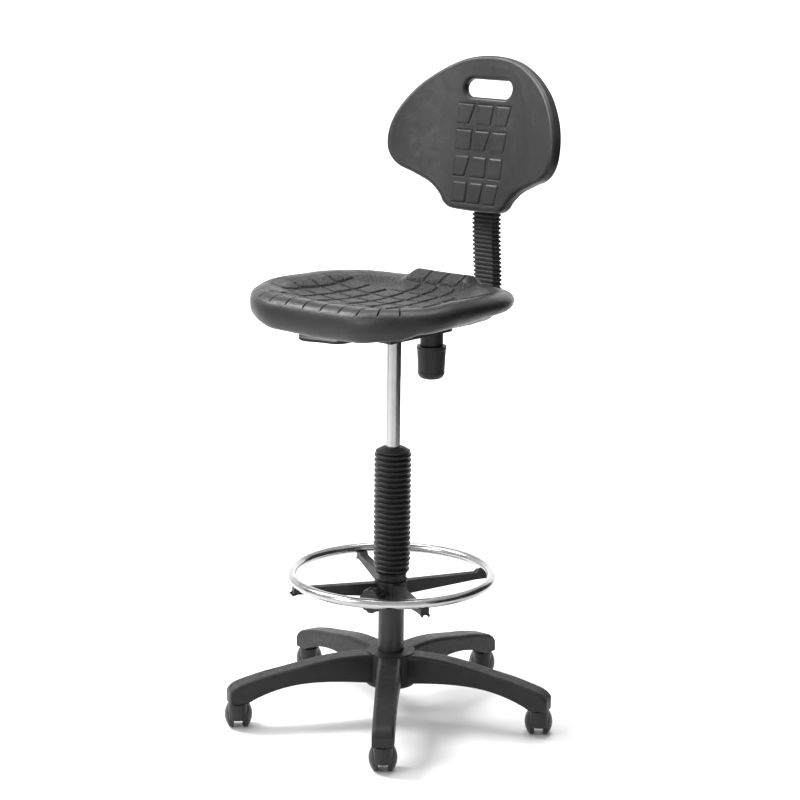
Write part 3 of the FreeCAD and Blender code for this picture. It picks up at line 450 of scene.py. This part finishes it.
BLOCK_ROWS, TONGUE_ROW = 7, 5  # from TONGUE_ROW on, the rows run up the tongue
SLIT_HALF = 1.7 * MM
SLIT_DEPTH = 4.2 * MM
TONGUE_RISE = 15 * MM
SMOOTH_GRAIN = 0.1             # what is left of the pebble grain on the rim
FAR_AWAY = 1.0                 # a distance that reaches no slit
# Round the edge, in degrees from the middle of the front: corner 46, side 90, rear corner 130.
TURN = (0, 25, 46, 58, 78, 100, 125, 152, 180)
RIM_TOP = (60, 61, 63, 64, 69, 67, 64, 59, 58)         # mm above the pad's lowest level
RIM_MIDDLE = (29, 30, 35, 44, 50, 50, 48, 40, 38)
RIM_BOTTOM = (-2, 0, 8, 18, 24, 30, 30, 18, 15)
RIM_TUCK = (17, 17, 20, 26, 30, 28, 24, 26, 28)        # mm from the outline in to the rim's foot


def around(values, x, y):
    """A value at the seat's edge, smoothly between those given for the angles in TURN."""
    turn = np.abs(np.degrees(np.arctan2(x, -(y - SEAT_MIDDLE_Y))))
    result = np.full(np.shape(turn), float(values[0]))
    for start, end, first, last in zip(TURN, TURN[1:], values, values[1:]):
        result = result + (last - first) * ramp(turn, start, end)
    return result * MM


def seat_inset(x, y):
    """How far a point lies inside the seat's outline."""
    at_front = y < SEAT_MIDDLE_Y
    r = np.where(at_front, FRONT_CORNER_R, REAR_CORNER_R)
    dx = np.abs(x) - (SEAT_HALF - r)
    dy = np.where(at_front, SEAT_FRONT + r - y, y - (SEAT_REAR - r))
    outside = np.hypot(np.maximum(dx, 0), np.maximum(dy, 0))
    return r - outside - np.minimum(np.maximum(dx, dy), 0)


def seat_outline():
    """The outline from the middle of the front, anticlockwise, with its distance along the edge.

    Its points lie closer together where a slit crosses the rim.
    """
    step = 0.3 * MM
    coarse, fine = 8, 2            # steps from one kept point to the next
    half, front, rear = SEAT_HALF, SEAT_FRONT, SEAT_REAR
    runs = [((0, front), (half - FRONT_CORNER_R, front)),
            ((half - FRONT_CORNER_R, front + FRONT_CORNER_R), FRONT_CORNER_R, -90),
            ((half, front + FRONT_CORNER_R), (half, rear - REAR_CORNER_R)),
            ((half - REAR_CORNER_R, rear - REAR_CORNER_R), REAR_CORNER_R, 0),
            ((half - REAR_CORNER_R, rear), (0, rear))]
    points = []
    for run in runs:
        if len(run) == 2:
            a, b = np.array(run[0]), np.array(run[1])
            count = int(np.linalg.norm(b - a) / step)
            points += [a + (b - a) * k / count for k in range(count)]
        else:
            centre, r, start = np.array(run[0]), run[1], math.radians(run[2])
            count = int(r * math.pi / 2 / step)
            angles = start + np.arange(count) * (math.pi / 2) / count
            points += [centre + r * np.array([math.cos(a), math.sin(a)]) for a in angles]
    right = np.array(points)
    along = np.concatenate([[0], np.cumsum(np.linalg.norm(np.diff(right, axis=0), axis=1))])
    near_slit = slit_gap(along) < 3.2 * MM
    index = np.arange(len(right))
    keep = (index % coarse == 0) | (near_slit & (index % fine == 0))
    right, along = right[keep], along[keep]
    left, left_along = right[1:][::-1] * (-1, 1), -along[1:][::-1]
    rear = np.array([[0.0, SEAT_REAR]])
    whole = np.concatenate([right, rear, left])
    return whole, np.concatenate([along, [FAR_AWAY], left_along])


def slit_gap(along):
    """Distance along the edge from the nearest slit, for the ten slits of the front rim."""
    nearest = np.full(np.shape(along), FAR_AWAY)
    for k in range(-5, 5):
        nearest = np.minimum(nearest, np.abs(along - BLOCK_PITCH_X * (k + 0.5)))
    return nearest


def tongue(x, y):
    """The raised middle of the seat's rear edge."""
    across = ramp(np.abs(x), 84 * MM, 62 * MM)
    return TONGUE_RISE * across * ramp(y, SEAT_REAR - 86 * MM, SEAT_REAR - RIM_R)


def seat_blocks(x, y):
    """Height of the raised blocks, and how deep each point lies in a groove at a block's foot."""
    relief, recess = np.zeros(np.shape(x)), np.zeros(np.shape(x))
    for row in range(BLOCK_ROWS):
        centre_y = SEAT_FRONT + FIRST_ROW + BLOCK_PITCH_Y * row
        on_tongue = row >= TONGUE_ROW
        widest = 1 if on_tongue else 4
        for column in range(-widest, widest + 1):
            centre_x = BLOCK_PITCH_X * column
            room = seat_inset(np.array(centre_x), np.array(centre_y))
            if room < BLOCK_INSET and not on_tongue:
                continue
            near = (np.abs(x - centre_x) < BLOCK_REACH_X) & (np.abs(y - centre_y) < BLOCK_REACH_Y)
            if not near.any():
                continue
            taper = BLOCK_TAPERS[(row + 2 * column) % len(BLOCK_TAPERS)]
            raised, sunk = block_relief(x[near] - centre_x, y[near] - centre_y, BLOCK_HALF_X,
                                        BLOCK_HALF_Y, taper, ("right", "low"), BLOCK_RISE)
            relief[near] += raised
            recess[near] = np.maximum(recess[near], sunk)
    return relief, recess


def seat_top(x, y):
    """Height of the dished top, out to the crest of the rim."""
    inset = seat_inset(x, y)
    crest = SEAT_LOW.z + around(RIM_TOP, x, y)
    bowl = (x ** 2 + (y - SEAT_MIDDLE_Y) ** 2) / (2 * BASIN_R)
    basin = SEAT_LOW.z + BASIN_Z + bowl
    edge_share = ramp(inset, RIM_R + 62 * MM, RIM_R - 4 * MM)
    return basin + (crest - basin) * edge_share + tongue(x, y)


def slit_depth(along, inset):
    """Depth of the front rim's slits, which fade out over the edge and towards the basin."""
    reach = ramp(inset, 6 * MM, 10 * MM) * ramp(inset, 42 * MM, 36 * MM)
    return SLIT_DEPTH * np.maximum(0, 1 - (slit_gap(along) / SLIT_HALF) ** 2) * reach


def edge_distance(x, y):
    """Distance along the front edge of the outline from its middle, for points near that edge."""
    straight = SEAT_HALF - FRONT_CORNER_R
    turn = np.arctan2(np.abs(x) - straight, SEAT_FRONT + FRONT_CORNER_R - y)
    past = straight + FRONT_CORNER_R * turn
    along = np.where(np.abs(x) < straight, np.abs(x), past)
    along = np.where(y < SEAT_FRONT + FRONT_CORNER_R, along, FAR_AWAY)
    return np.sign(x) * along


def seat_rim():
    """Rings of points from the crest of the rim, over the edge and down to its lower edge."""
    outline, along = seat_outline()
    normals = inward_normals(outline)
    crest = SEAT_LOW.z + around(RIM_TOP, *outline.T) + tongue(*outline.T)
    middle = SEAT_LOW.z + around(RIM_MIDDLE, *outline.T)
    bottom = SEAT_LOW.z + around(RIM_BOTTOM, *outline.T)
    tuck = around(RIM_TUCK, *outline.T)
    rings, cuts = [], []
    steps = 36
    power = 2 / RIM_SQUARENESS
    for k in range(steps + 1):
        angle = math.pi / 2 - math.pi * k / steps
        over, out = abs(math.sin(angle)) ** power, abs(math.cos(angle)) ** power
        if angle >= 0:
            inset = np.full(len(outline), RIM_R * (1 - out))
            z = middle + (crest - middle) * over
        else:
            inset = tuck * (1 - out)
            z = middle - (middle - bottom) * over
        cut = slit_depth(along, inset) * (angle > 0)
        spot = outline + normals * (inset + cut * out)[:, None]
        rings.append(np.column_stack([spot, z - cut * over]))
        cuts.append(cut / SLIT_DEPTH)
    return rings, cuts


def seat_underside(loop, insert_low, insert_high):
    """Rings from the rim's lower edge in to the pocket round the insert board, and its roof."""
    pocket = 0.8 * MM
    half_x = (insert_high.x - insert_low.x) / 2 + pocket
    middle_y = (insert_high.y + insert_low.y) / 2
    half_y = (insert_high.y - insert_low.y) / 2 + pocket
    corner = 60 * MM
    steps, step = 200, 1.2 * MM
    turn = np.arctan2(loop[:, 1] - middle_y, loop[:, 0])
    ray = np.column_stack([np.cos(turn), np.sin(turn)])
    reach = np.zeros(len(loop))
    for _ in range(steps):
        trial = reach + step
        q = np.abs(ray * trial[:, None]) - (np.array([half_x, half_y]) - corner)
        inside = np.hypot(*np.maximum(q, 0).T) + np.minimum(q.max(1), 0) < corner
        reach = np.where(inside, trial, reach)
    edge = ray * reach[:, None] + np.array([0, middle_y])
    rings = []
    foot_z = insert_low.z - 4 * MM
    for share in (0.04, 0.12, 0.25, 0.42, 0.6, 0.78, 0.92, 1.0):
        spot = loop[:, :2] + (edge * 1.06 - loop[:, :2]) * share
        z = loop[:, 2] + (foot_z - loop[:, 2]) * smooth(share ** 0.8)
        rings.append(np.column_stack([spot, z]))
    rings.append(np.column_stack([edge * 1.01, np.full(len(edge), foot_z + 1 * MM)]))
    rings.append(np.column_stack([edge, np.full(len(edge), foot_z + 3 * MM)]))
    roof_z = insert_high.z + 0.4 * MM
    for scale in (1.0, 0.97, 0.6, 0.25):
        rings.append(np.column_stack([edge * scale + np.array([0, middle_y]) * (1 - scale),
                                      np.full(len(edge), roof_z)]))
    return rings


def build_seat():
    rim, cuts = seat_rim()
    crest_loop = rim[0]
    flat, faces = filled_sheet(crest_loop[:, :2], [], 1.4 * MM)
    x, y = flat.T
    inset = seat_inset(x, y)
    calm = ramp(inset, 52 * MM, 60 * MM)
    blocks, sunk = seat_blocks(x, y)
    slit = slit_depth(edge_distance(x, y), inset)
    z = seat_top(x, y) + blocks * ramp(inset, RIM_R, RIM_R + 6 * MM) - slit
    count = len(crest_loop)
    z[:count] = crest_loop[:, 2]
    points = [np.column_stack([flat, z])]
    pebbled = SMOOTH_GRAIN + (1 - SMOOTH_GRAIN) * calm
    grain = [np.where(np.arange(len(flat)) < count, SMOOTH_GRAIN, pebbled)]
    # recess: depth in a slit or a block's foot groove, which foam_skin paints as shade into the
    # colour.
    recess = [np.maximum(sunk, slit / SLIT_DEPTH)]
    previous, total = 0, len(flat)
    underside = seat_underside(rim[-1], *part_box("seat_insert"))
    for ring, cut in zip(rim[1:] + underside, cuts[1:] + [cuts[-1]] * len(underside)):
        points.append(ring)
        grain.append(np.full(count, SMOOTH_GRAIN))
        recess.append(cut)
        for k in range(count):
            after = (k + 1) % count
            faces.append((previous + after, previous + k, total + k, total + after))
        previous, total = total, total + count
    faces.append(tuple(previous + k for k in range(count)))
    seat = new_object("seat_cushion", np.concatenate(points), faces, "integral_foam")
    point_attribute(seat, "grain", np.concatenate(grain))
    point_attribute(seat, "recess", np.concatenate(recess))
    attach(seat, "seat_frame")
    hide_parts("seat_pad")


# ---------------------------------------------------------------- backrest
BACK_LOW, BACK_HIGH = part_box("backrest_pad")
BACK_LEAN = math.radians(10.2)
BACK_CURVE_R = 450 * MM
BACK_THICK = 25 * MM
BACK_MIDDLE_Z = 1100 * MM
BACK_FACE_Y = 256 * MM
BACK_ALONG = np.array([0, math.sin(BACK_LEAN), math.cos(BACK_LEAN)])
BACK_REARWARD = np.array([0, math.cos(BACK_LEAN), -math.sin(BACK_LEAN)])
# The left half of the outline, from the middle of the top: mm across and mm above the floor.
HALF_OUTLINE = ((0, 1264), (54, 1258), (102, 1238), (147, 1206), (175, 1173), (192, 1141),
                (199.5, 1105), (195, 1072), (176, 1047), (141, 1031), (108, 1015), (86, 996),
                (74, 979), (58, 970), (28, 967.5), (0, 967))
HAND_SLOT_Z = 1201 * MM
HAND_SLOT_LENGTH, HAND_SLOT_HEIGHT = 112 * MM, 35 * MM
EDGE_STEPS = (0.0, 0.0, 0.1, 0.4, 1.0, 1.9, 3.1, 4.7, 6.8)   # mm inside an edge
EDGE_R = 7 * MM
EDGE_SQUARE = 0.35             # share of the pad's thickness that stays upright at its edge
CROWN = 0.08                   # share of the thickness that the pad gains from its edge to its middle
FRONT_SPACING, REAR_SPACING = 1.4 * MM, 4.5 * MM


def evenly_spaced(loop, spacing):
    """The same closed loop with its points at an even spacing."""
    closed = np.concatenate([loop, loop[:1]])
    length = np.concatenate([[0], np.cumsum(np.linalg.norm(np.diff(closed, axis=0), axis=1))])
    count = int(length[-1] / spacing)
    places = np.arange(count) * length[-1] / count
    return np.column_stack([np.interp(places, length, values) for values in closed.T])


def closed_spline(points, spacing):
    """A smooth closed loop through the points, at an even spacing."""
    points = np.array(points, float)
    before, after, next_after = [np.roll(points, shift, 0) for shift in (1, -1, -2)]
    t = np.linspace(0, 1, 60, endpoint=False)[:, None]
    dense = []
    for p0, p1, p2, p3 in zip(before, points, after, next_after):
        dense.append(0.5 * (2 * p1 + (p2 - p0) * t + (2 * p0 - 5 * p1 + 4 * p2 - p3) * t ** 2
                            + (3 * p1 - p0 - 3 * p2 + p3) * t ** 3))
    return evenly_spaced(np.concatenate(dense), spacing)


def wing(x):
    """How far the pad's face lies behind its middle: wings curve forwards, so it is negative."""
    return np.sqrt(BACK_CURVE_R ** 2 - x ** 2) - BACK_CURVE_R


def back_sheet_place(x, z):
    """Flat coordinates on the back (across, along) of a point of the front face."""
    along = (z - BACK_MIDDLE_Z + wing(x) * math.sin(BACK_LEAN)) / math.cos(BACK_LEAN)
    return np.column_stack([x, along])


def back_point(flat, behind):
    """Points in space for flat coordinates on the back and a depth behind the front face."""
    x, along = flat.T
    lean_in = x / BACK_CURVE_R
    facing = -np.column_stack([lean_in, np.zeros(len(x)), np.zeros(len(x))])
    facing = facing - BACK_REARWARD * np.sqrt(1 - lean_in ** 2)[:, None]
    face = np.column_stack([x, np.zeros(len(x)), np.zeros(len(x))])
    face = face + BACK_ALONG * along[:, None] + BACK_REARWARD * wing(x)[:, None]
    face = face + np.array([0, BACK_FACE_Y, BACK_MIDDLE_Z])
    return face - facing * np.asarray(behind)[:, None]


def edge_fullness(inset):
    """Share of the pad's half thickness at a distance inside its edge."""
    rounding = np.sqrt(np.clip(1 - (1 - np.clip(inset / EDGE_R, 0, 1)) ** 2, 0, 1))
    fullness = EDGE_SQUARE + (1 - EDGE_SQUARE) * rounding
    return fullness * (1 - CROWN + CROWN * ramp(inset, 5 * MM, 70 * MM))


BACK_BLOCK_TOP = 51 * MM       # along the back, from its middle to the top block row's centre
BACK_BLOCK_PITCH = 50.5 * MM
BACK_BLOCK_HALF, BACK_BLOCK_NARROWING = 17.5, 0.9   # mm, and mm less in each row from the top
BACK_BLOCK_HALF_LENGTH = 18.5 * MM
BACK_BLOCK_RISE = 1.1 * MM
BACK_COLUMN_SPREAD, BACK_COLUMN_CLOSING = 1.06, 0.05
# How far the right side of each block leans in, by row from the top and by column.
BACK_TAPERS = ((10, 3, 8), (0, 9, 4), (8, 0, 0), (0, 5, 6))


def back_blocks(flat):
    """Height of the raised blocks, and how deep each point lies in a groove at a block's foot."""
    x, along = flat.T
    relief, recess = np.zeros(len(x)), np.zeros(len(x))
    for row, tapers in enumerate(BACK_TAPERS):
        centre = BACK_BLOCK_TOP - BACK_BLOCK_PITCH * row
        sides = ("right", "high") if row < 2 else ("right", "low")
        for column, taper in zip((-1, 0, 1), tapers):
            spread = BACK_COLUMN_SPREAD - BACK_COLUMN_CLOSING * row
            offset = x - BLOCK_PITCH_X * column * spread
            near = (np.abs(offset) < BLOCK_REACH_X) & (np.abs(along - centre) < BLOCK_REACH_Y)
            half = (BACK_BLOCK_HALF - BACK_BLOCK_NARROWING * row) * MM
            raised, sunk = block_relief(offset[near], (along - centre)[near], half,
                                        BACK_BLOCK_HALF_LENGTH, taper * MM, sides, BACK_BLOCK_RISE)
            relief[near] += raised
            recess[near] = np.maximum(recess[near], sunk)
    return relief, recess


def back_outline():
    half = np.array(HALF_OUTLINE) * MM
    mirrored = half[1:-1][::-1] * (-1, 1)
    traced = closed_spline(np.concatenate([half, mirrored])[::-1], 2.2 * MM)
    return back_sheet_place(*traced.T)


def hand_slot_outline():
    slot_along = (HAND_SLOT_Z - BACK_MIDDLE_Z) / math.cos(BACK_LEAN)
    end_r = HAND_SLOT_HEIGHT / 2
    reach = HAND_SLOT_LENGTH / 2 - end_r
    turns = np.radians(np.arange(0, 360, 5.0))
    slot = np.column_stack([np.cos(turns) * end_r + np.where(np.cos(turns) >= 0, reach, -reach),
                            np.sin(turns) * end_r + slot_along])
    return evenly_spaced(slot, 1.6 * MM)


def weld(mesh, distance):
    """Joins points that coincide, drops loose ones and turns all faces outwards."""
    bm = bmesh.new()
    bm.from_mesh(mesh)
    bmesh.ops.remove_doubles(bm, verts=bm.verts, dist=distance)
    loose = [v for v in bm.verts if not v.link_faces]
    bmesh.ops.delete(bm, geom=loose, context="VERTS")
    bmesh.ops.recalc_face_normals(bm, faces=bm.faces)
    bm.to_mesh(mesh)
    bm.free()


def build_backrest():
    """Front and rear sheets that meet along a seam round the edge and round the hand slot."""
    outline, slot = back_outline(), hand_slot_outline()
    loops = {"edge": (outline, inward_normals(outline)), "slot": (slot, -inward_normals(slot))}
    ring_points, ring_insets, seam, total = [], [], [], 0
    starts, inner = {}, {}
    for name, (loop, normals) in loops.items():
        starts[name] = []
        for step in EDGE_STEPS:
            starts[name].append(total)
            inner[name] = loop + normals * step * MM
            ring_points.append(inner[name])
            ring_insets.append(np.full(len(loop), step * MM))
            seam.append(np.full(len(loop), len(starts[name]) == 1))
            total += len(loop)
    points, grain, recess, faces = [], [], [], []
    base = 0
    half_thick = BACK_THICK / 2
    for side, spacing in (("front", FRONT_SPACING), ("rear", REAR_SPACING)):
        flat, sheet = filled_sheet(inner["edge"], [inner["slot"]], spacing)
        depth_in = distance_to_loops(flat, [outline, slot])
        whole = np.concatenate(ring_points + [flat])
        insets = np.concatenate(ring_insets + [depth_in])
        sign = -1 if side == "front" else 1
        off_seam = ~np.concatenate(seam + [np.zeros(len(flat), bool)])
        behind = half_thick + sign * half_thick * edge_fullness(insets) * off_seam
        sunk = np.zeros(len(whole))
        if side == "front":
            blocks, sunk = back_blocks(whole)
            behind = behind - blocks
        recess.append(sunk)
        points.append(back_point(whole, behind))
        grain.append(0.04 * ramp(insets, 10 * MM, 24 * MM))
        joined = {total + k: starts["edge"][-1] + k for k in range(len(outline))}
        past = total + len(outline)
        joined.update({past + k: starts["slot"][-1] + k for k in range(len(slot))})
        made = [tuple(joined.get(total + v, total + v) for v in face) for face in sheet]
        for name, (loop, _) in loops.items():
            count = len(loop)
            for first, second in zip(starts[name], starts[name][1:]):
                for k in range(count):
                    after = (k + 1) % count
                    face = (first + k, first + after, second + after, second + k)
                    made.append(face if name == "edge" else face[::-1])
        if side == "rear":
            made = [face[::-1] for face in made]
        faces += [tuple(base + v for v in face) for face in made]
        base += len(whole)
    pad = new_object("backrest_cushion", np.concatenate(points), faces, "integral_foam")
    point_attribute(pad, "grain", np.concatenate(grain))
    # recess: depth in a block's foot groove, which foam_skin paints as shade into the colour.
    point_attribute(pad, "recess", np.concatenate(recess))
    weld(pad.data, 0.02 * MM)
    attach(pad, "backrest")
    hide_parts("backrest_pad")


# ---------------------------------------------------------------- bellows and spring
# One rib up a corrugated wall: (share of the pitch, share of the rib's depth).
RIB_SHAPE = ((0.0, 0.0), (0.14, 0.12), (0.24, 0.62), (0.33, 0.93), (0.45, 1.0), (0.57, 1.0),
             (0.69, 0.93), (0.78, 0.62), (0.88, 0.12))


def rib_profile(low, high, ribs):
    """(height, share of the rib's depth) pairs up a corrugated wall."""
    pitch = (high - low) / ribs
    levels = []
    for rib in range(ribs):
        levels += [(low + (rib + share) * pitch, depth) for share, depth in RIB_SHAPE]
    return levels + [(high, 0.0)]


def build_column_bellows():
    """The sleeve round the gas lift, from the column's cap down to the foot ring's hub."""
    low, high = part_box("column_bellows")
    outer_r, rib_depth, wall = high.x, 5.6 * MM, 1.5 * MM
    ribs, segments = 23, 72
    foot_taper, foot_height = 2.7 * MM, 26 * MM
    levels = rib_profile(low.z, high.z, ribs)
    outside, inside = [], []
    for z, depth in levels:
        r = outer_r - rib_depth * (1 - depth)
        outside.append(circle(r - foot_taper * ramp(z, low.z + foot_height, low.z), z, segments))
        inside.append(circle(r - wall, z, segments))
    points, faces = closed_tube(outside + inside[::-1])
    sleeve = new_object("column_bellows_sleeve", points, faces, "sleeve_plastic")
    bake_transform(sleeve)
    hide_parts("column_bellows")


def rounded_rectangle(half_x, half_y, corner, per_corner=9):
    points = []
    for quarter in range(4):
        sx, sy = ((1, 1), (-1, 1), (-1, -1), (1, -1))[quarter]
        for k in range(per_corner):
            turn = math.pi / 2 * (quarter + k / (per_corner - 1))
            points.append((sx * (half_x - corner) + corner * math.cos(turn),
                           sy * (half_y - corner) + corner * math.sin(turn)))
    return np.array(points)


def build_stem_bellows():
    """The sleeve round the flat bar, bent as the bar is."""
    low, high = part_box("stem_bellows")
    cloud = node_points("stem_bellows")
    bends = np.polyfit(cloud[:, 2], cloud[:, 1], 4)
    half_x, half_y, corner_r = high.x, 14.4 * MM, 3.4 * MM
    rib_depth, wall = 3.0 * MM, 2.2 * MM
    ribs, end_gap = 27, 0.5 * MM
    levels = rib_profile(low.z + end_gap, high.z - end_gap, ribs)

    def ring_at(z, shrink):
        ring = rounded_rectangle(half_x - shrink, half_y - shrink, corner_r - shrink * 0.3)
        return np.column_stack([ring[:, 0], ring[:, 1] + np.polyval(bends, z), np.full(len(ring), z)])

    outside = [ring_at(z, rib_depth * (1 - depth)) for z, depth in levels]
    inside = [ring_at(z, rib_depth + wall) for z, _ in levels]
    points, faces = closed_tube(outside + inside[::-1])
    sleeve = new_object("stem_bellows_sleeve", points, faces, "sleeve_plastic")
    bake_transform(sleeve)
    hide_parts("stem_bellows")


def build_tension_spring():
    low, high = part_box("tension_spring")
    centre = Vector(((low.x + high.x) / 2, (low.y + high.y) / 2, 0))
    wire_r = 2.0 * MM
    coil_r = (high.x - low.x) / 2 - wire_r
    turns, per_turn, around_wire = 6.5, 40, 10
    bottom, top = low.z + wire_r, high.z - wire_r
    rings = []
    for k in range(int(turns * per_turn) + 1):
        share = k / (turns * per_turn)
        angle = 2 * math.pi * turns * share
        out = Vector((math.cos(angle), math.sin(angle), 0))
        middle = centre + out * coil_r + Vector((0, 0, bottom + (top - bottom) * smooth(share)))
        rings.append([tuple(middle + out * wire_r * math.cos(t) + Vector((0, 0, wire_r * math.sin(t))))
                      for t in np.arange(around_wire) * 2 * math.pi / around_wire])
    points, faces = lofted(rings, closed_ends=True)
    spring = new_object("tension_coil_spring", points, faces, "black_steel")
    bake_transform(spring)
    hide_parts("tension_spring")


# ---------------------------------------------------------------- studio
def build_floor():
    """A pale floor that sweeps up into a backdrop far behind the chair, the same on all sides."""
    reach, sweep, height, segments = 7.0, 2.0, 5.0, 96
    profile = [(2 * MM, 0.0), (reach * 0.5, 0.0), (reach, 0.0)]
    for turn in np.radians(np.arange(6, 91, 6)):
        profile.append((reach + sweep * math.sin(turn), sweep * (1 - math.cos(turn))))
    profile.append((reach + sweep, height))
    points, faces = lofted([circle(r, z, segments) for r, z in profile])
    faces.append(tuple(reversed(range(segments))))
    mesh = bpy.data.meshes.new("floor")
    mesh.from_pydata([tuple(p) for p in points], [], faces)
    mesh.polygons.foreach_set("use_smooth", [True] * len(mesh.polygons))
    floor = bpy.data.objects.new("floor", mesh)
    bpy.context.scene.collection.objects.link(floor)
    look = Shading("floor_paper", grey(0.9), 0.85, specular=0.1)
    look.two_colours(look.noise(0.8, 2.0), grey(0.895), grey(0.905))
    floor.data.materials.append(look.material)


def area_light(name, place, target, size, power):
    data = bpy.data.lights.new(name, "AREA")
    data.shape = "RECTANGLE"
    data.size, data.size_y = size
    data.energy = power
    lamp = bpy.data.objects.new(name, data)
    lamp.location = place
    lamp.rotation_euler = (Vector(target) - Vector(place)).to_track_quat("-Z", "Y").to_euler()
    bpy.context.scene.collection.objects.link(lamp)


# The photograph's camera: distance and height in metres, turns in radians, lens and sensor in mm.
CAMERA_AZIMUTH = math.radians(40.0)
CAMERA_DISTANCE, CAMERA_HEIGHT = 4.2372, 1.5702
CAMERA_PITCH, CAMERA_YAW, CAMERA_ROLL = 0.2182, 0.0029, 0.0115
CAMERA_LENS, CAMERA_SENSOR = 103.24, 36.0
RIGHTWARD = Vector((math.cos(CAMERA_AZIMUTH), math.sin(CAMERA_AZIMUTH), 0))
AWAY = Vector((-math.sin(CAMERA_AZIMUTH), math.cos(CAMERA_AZIMUTH), 0))
UP = Vector((0, 0, 1))


def build_camera():
    level = AWAY * math.cos(CAMERA_YAW) + RIGHTWARD * math.sin(CAMERA_YAW)
    right = RIGHTWARD * math.cos(CAMERA_YAW) - AWAY * math.sin(CAMERA_YAW)
    forward = level * math.cos(CAMERA_PITCH) - UP * math.sin(CAMERA_PITCH)
    up = level * math.sin(CAMERA_PITCH) + UP * math.cos(CAMERA_PITCH)
    across = right * math.cos(CAMERA_ROLL) + up * math.sin(CAMERA_ROLL)
    upward = up * math.cos(CAMERA_ROLL) - right * math.sin(CAMERA_ROLL)
    data = bpy.data.cameras.new("camera")
    data.lens, data.sensor_width = CAMERA_LENS, CAMERA_SENSOR
    camera = bpy.data.objects.new("camera", data)
    place = UP * CAMERA_HEIGHT - AWAY * CAMERA_DISTANCE
    turn = Matrix((across, upward, -forward)).transposed().to_4x4()
    camera.matrix_world = Matrix.Translation(place) @ turn
    bpy.context.scene.collection.objects.link(camera)
    bpy.context.scene.camera = camera


def build_flag(name, bearing, distance, width):
    """A dark upright panel that is seen only in reflections.

    Its bearing, in degrees, is counted from the camera's side of the chair to the right.
    """
    turn = math.radians(bearing)
    toward = RIGHTWARD * math.sin(turn) - AWAY * math.cos(turn)
    side = UP.cross(toward)
    half_height = 1.0
    middle = toward * distance + UP * half_height
    corners = [middle + side * (sx * width / 2) + UP * (sz * half_height)
               for sx, sz in ((-1, -1), (1, -1), (1, 1), (-1, 1))]
    mesh = bpy.data.meshes.new(name)
    mesh.from_pydata([tuple(c) for c in corners], [], [(0, 1, 2, 3)])
    flag = bpy.data.objects.new(name, mesh)
    bpy.context.scene.collection.objects.link(flag)
    look = Shading(name, grey(0.02), 0.9, specular=0.05)
    look.two_colours(look.noise(3.0, 2.0), grey(0.018), grey(0.022))
    flag.data.materials.append(look.material)
    flag.visible_camera = False
    flag.visible_shadow = False


def build_lights():
    aim = Vector((0, 0, 0.75))
    area_light("key", aim - RIGHTWARD * 2.5 + AWAY * 0.6 + UP * 2.5, aim, (0.9, 1.8), 150)
    area_light("front_left", aim - RIGHTWARD * 2.6 - AWAY * 2.0 + UP * 1.2, aim, (1.2, 2.0), 45)
    area_light("top", aim + UP * 3.2 + AWAY * 0.4, aim, (2.2, 2.2), 110)
    area_light("backdrop", UP * 3.2 + AWAY * 2.6, AWAY * 8.5 + UP * 1.6, (4.0, 1.0), 420)
    build_flag("flag_right", 55.0, 2.1, 1.2)
    build_flag("flag_right_rear", 102.0, 2.0, 2.6)
    build_flag("flag_left", -100.0, 2.6, 0.3)
    world = bpy.data.worlds.new("studio")
    world.use_nodes = True
    world.node_tree.nodes["Background"].inputs["Color"].default_value = (1, 1, 1, 1)
    world.node_tree.nodes["Background"].inputs["Strength"].default_value = 0.72
    bpy.context.scene.world = world
    bpy.context.scene.view_settings.view_transform = "Standard"


dress_cad_nodes()
build_seat()
build_backrest()
build_column_bellows()
build_stem_bellows()
build_tension_spring()
build_floor()
build_camera()
build_lights()
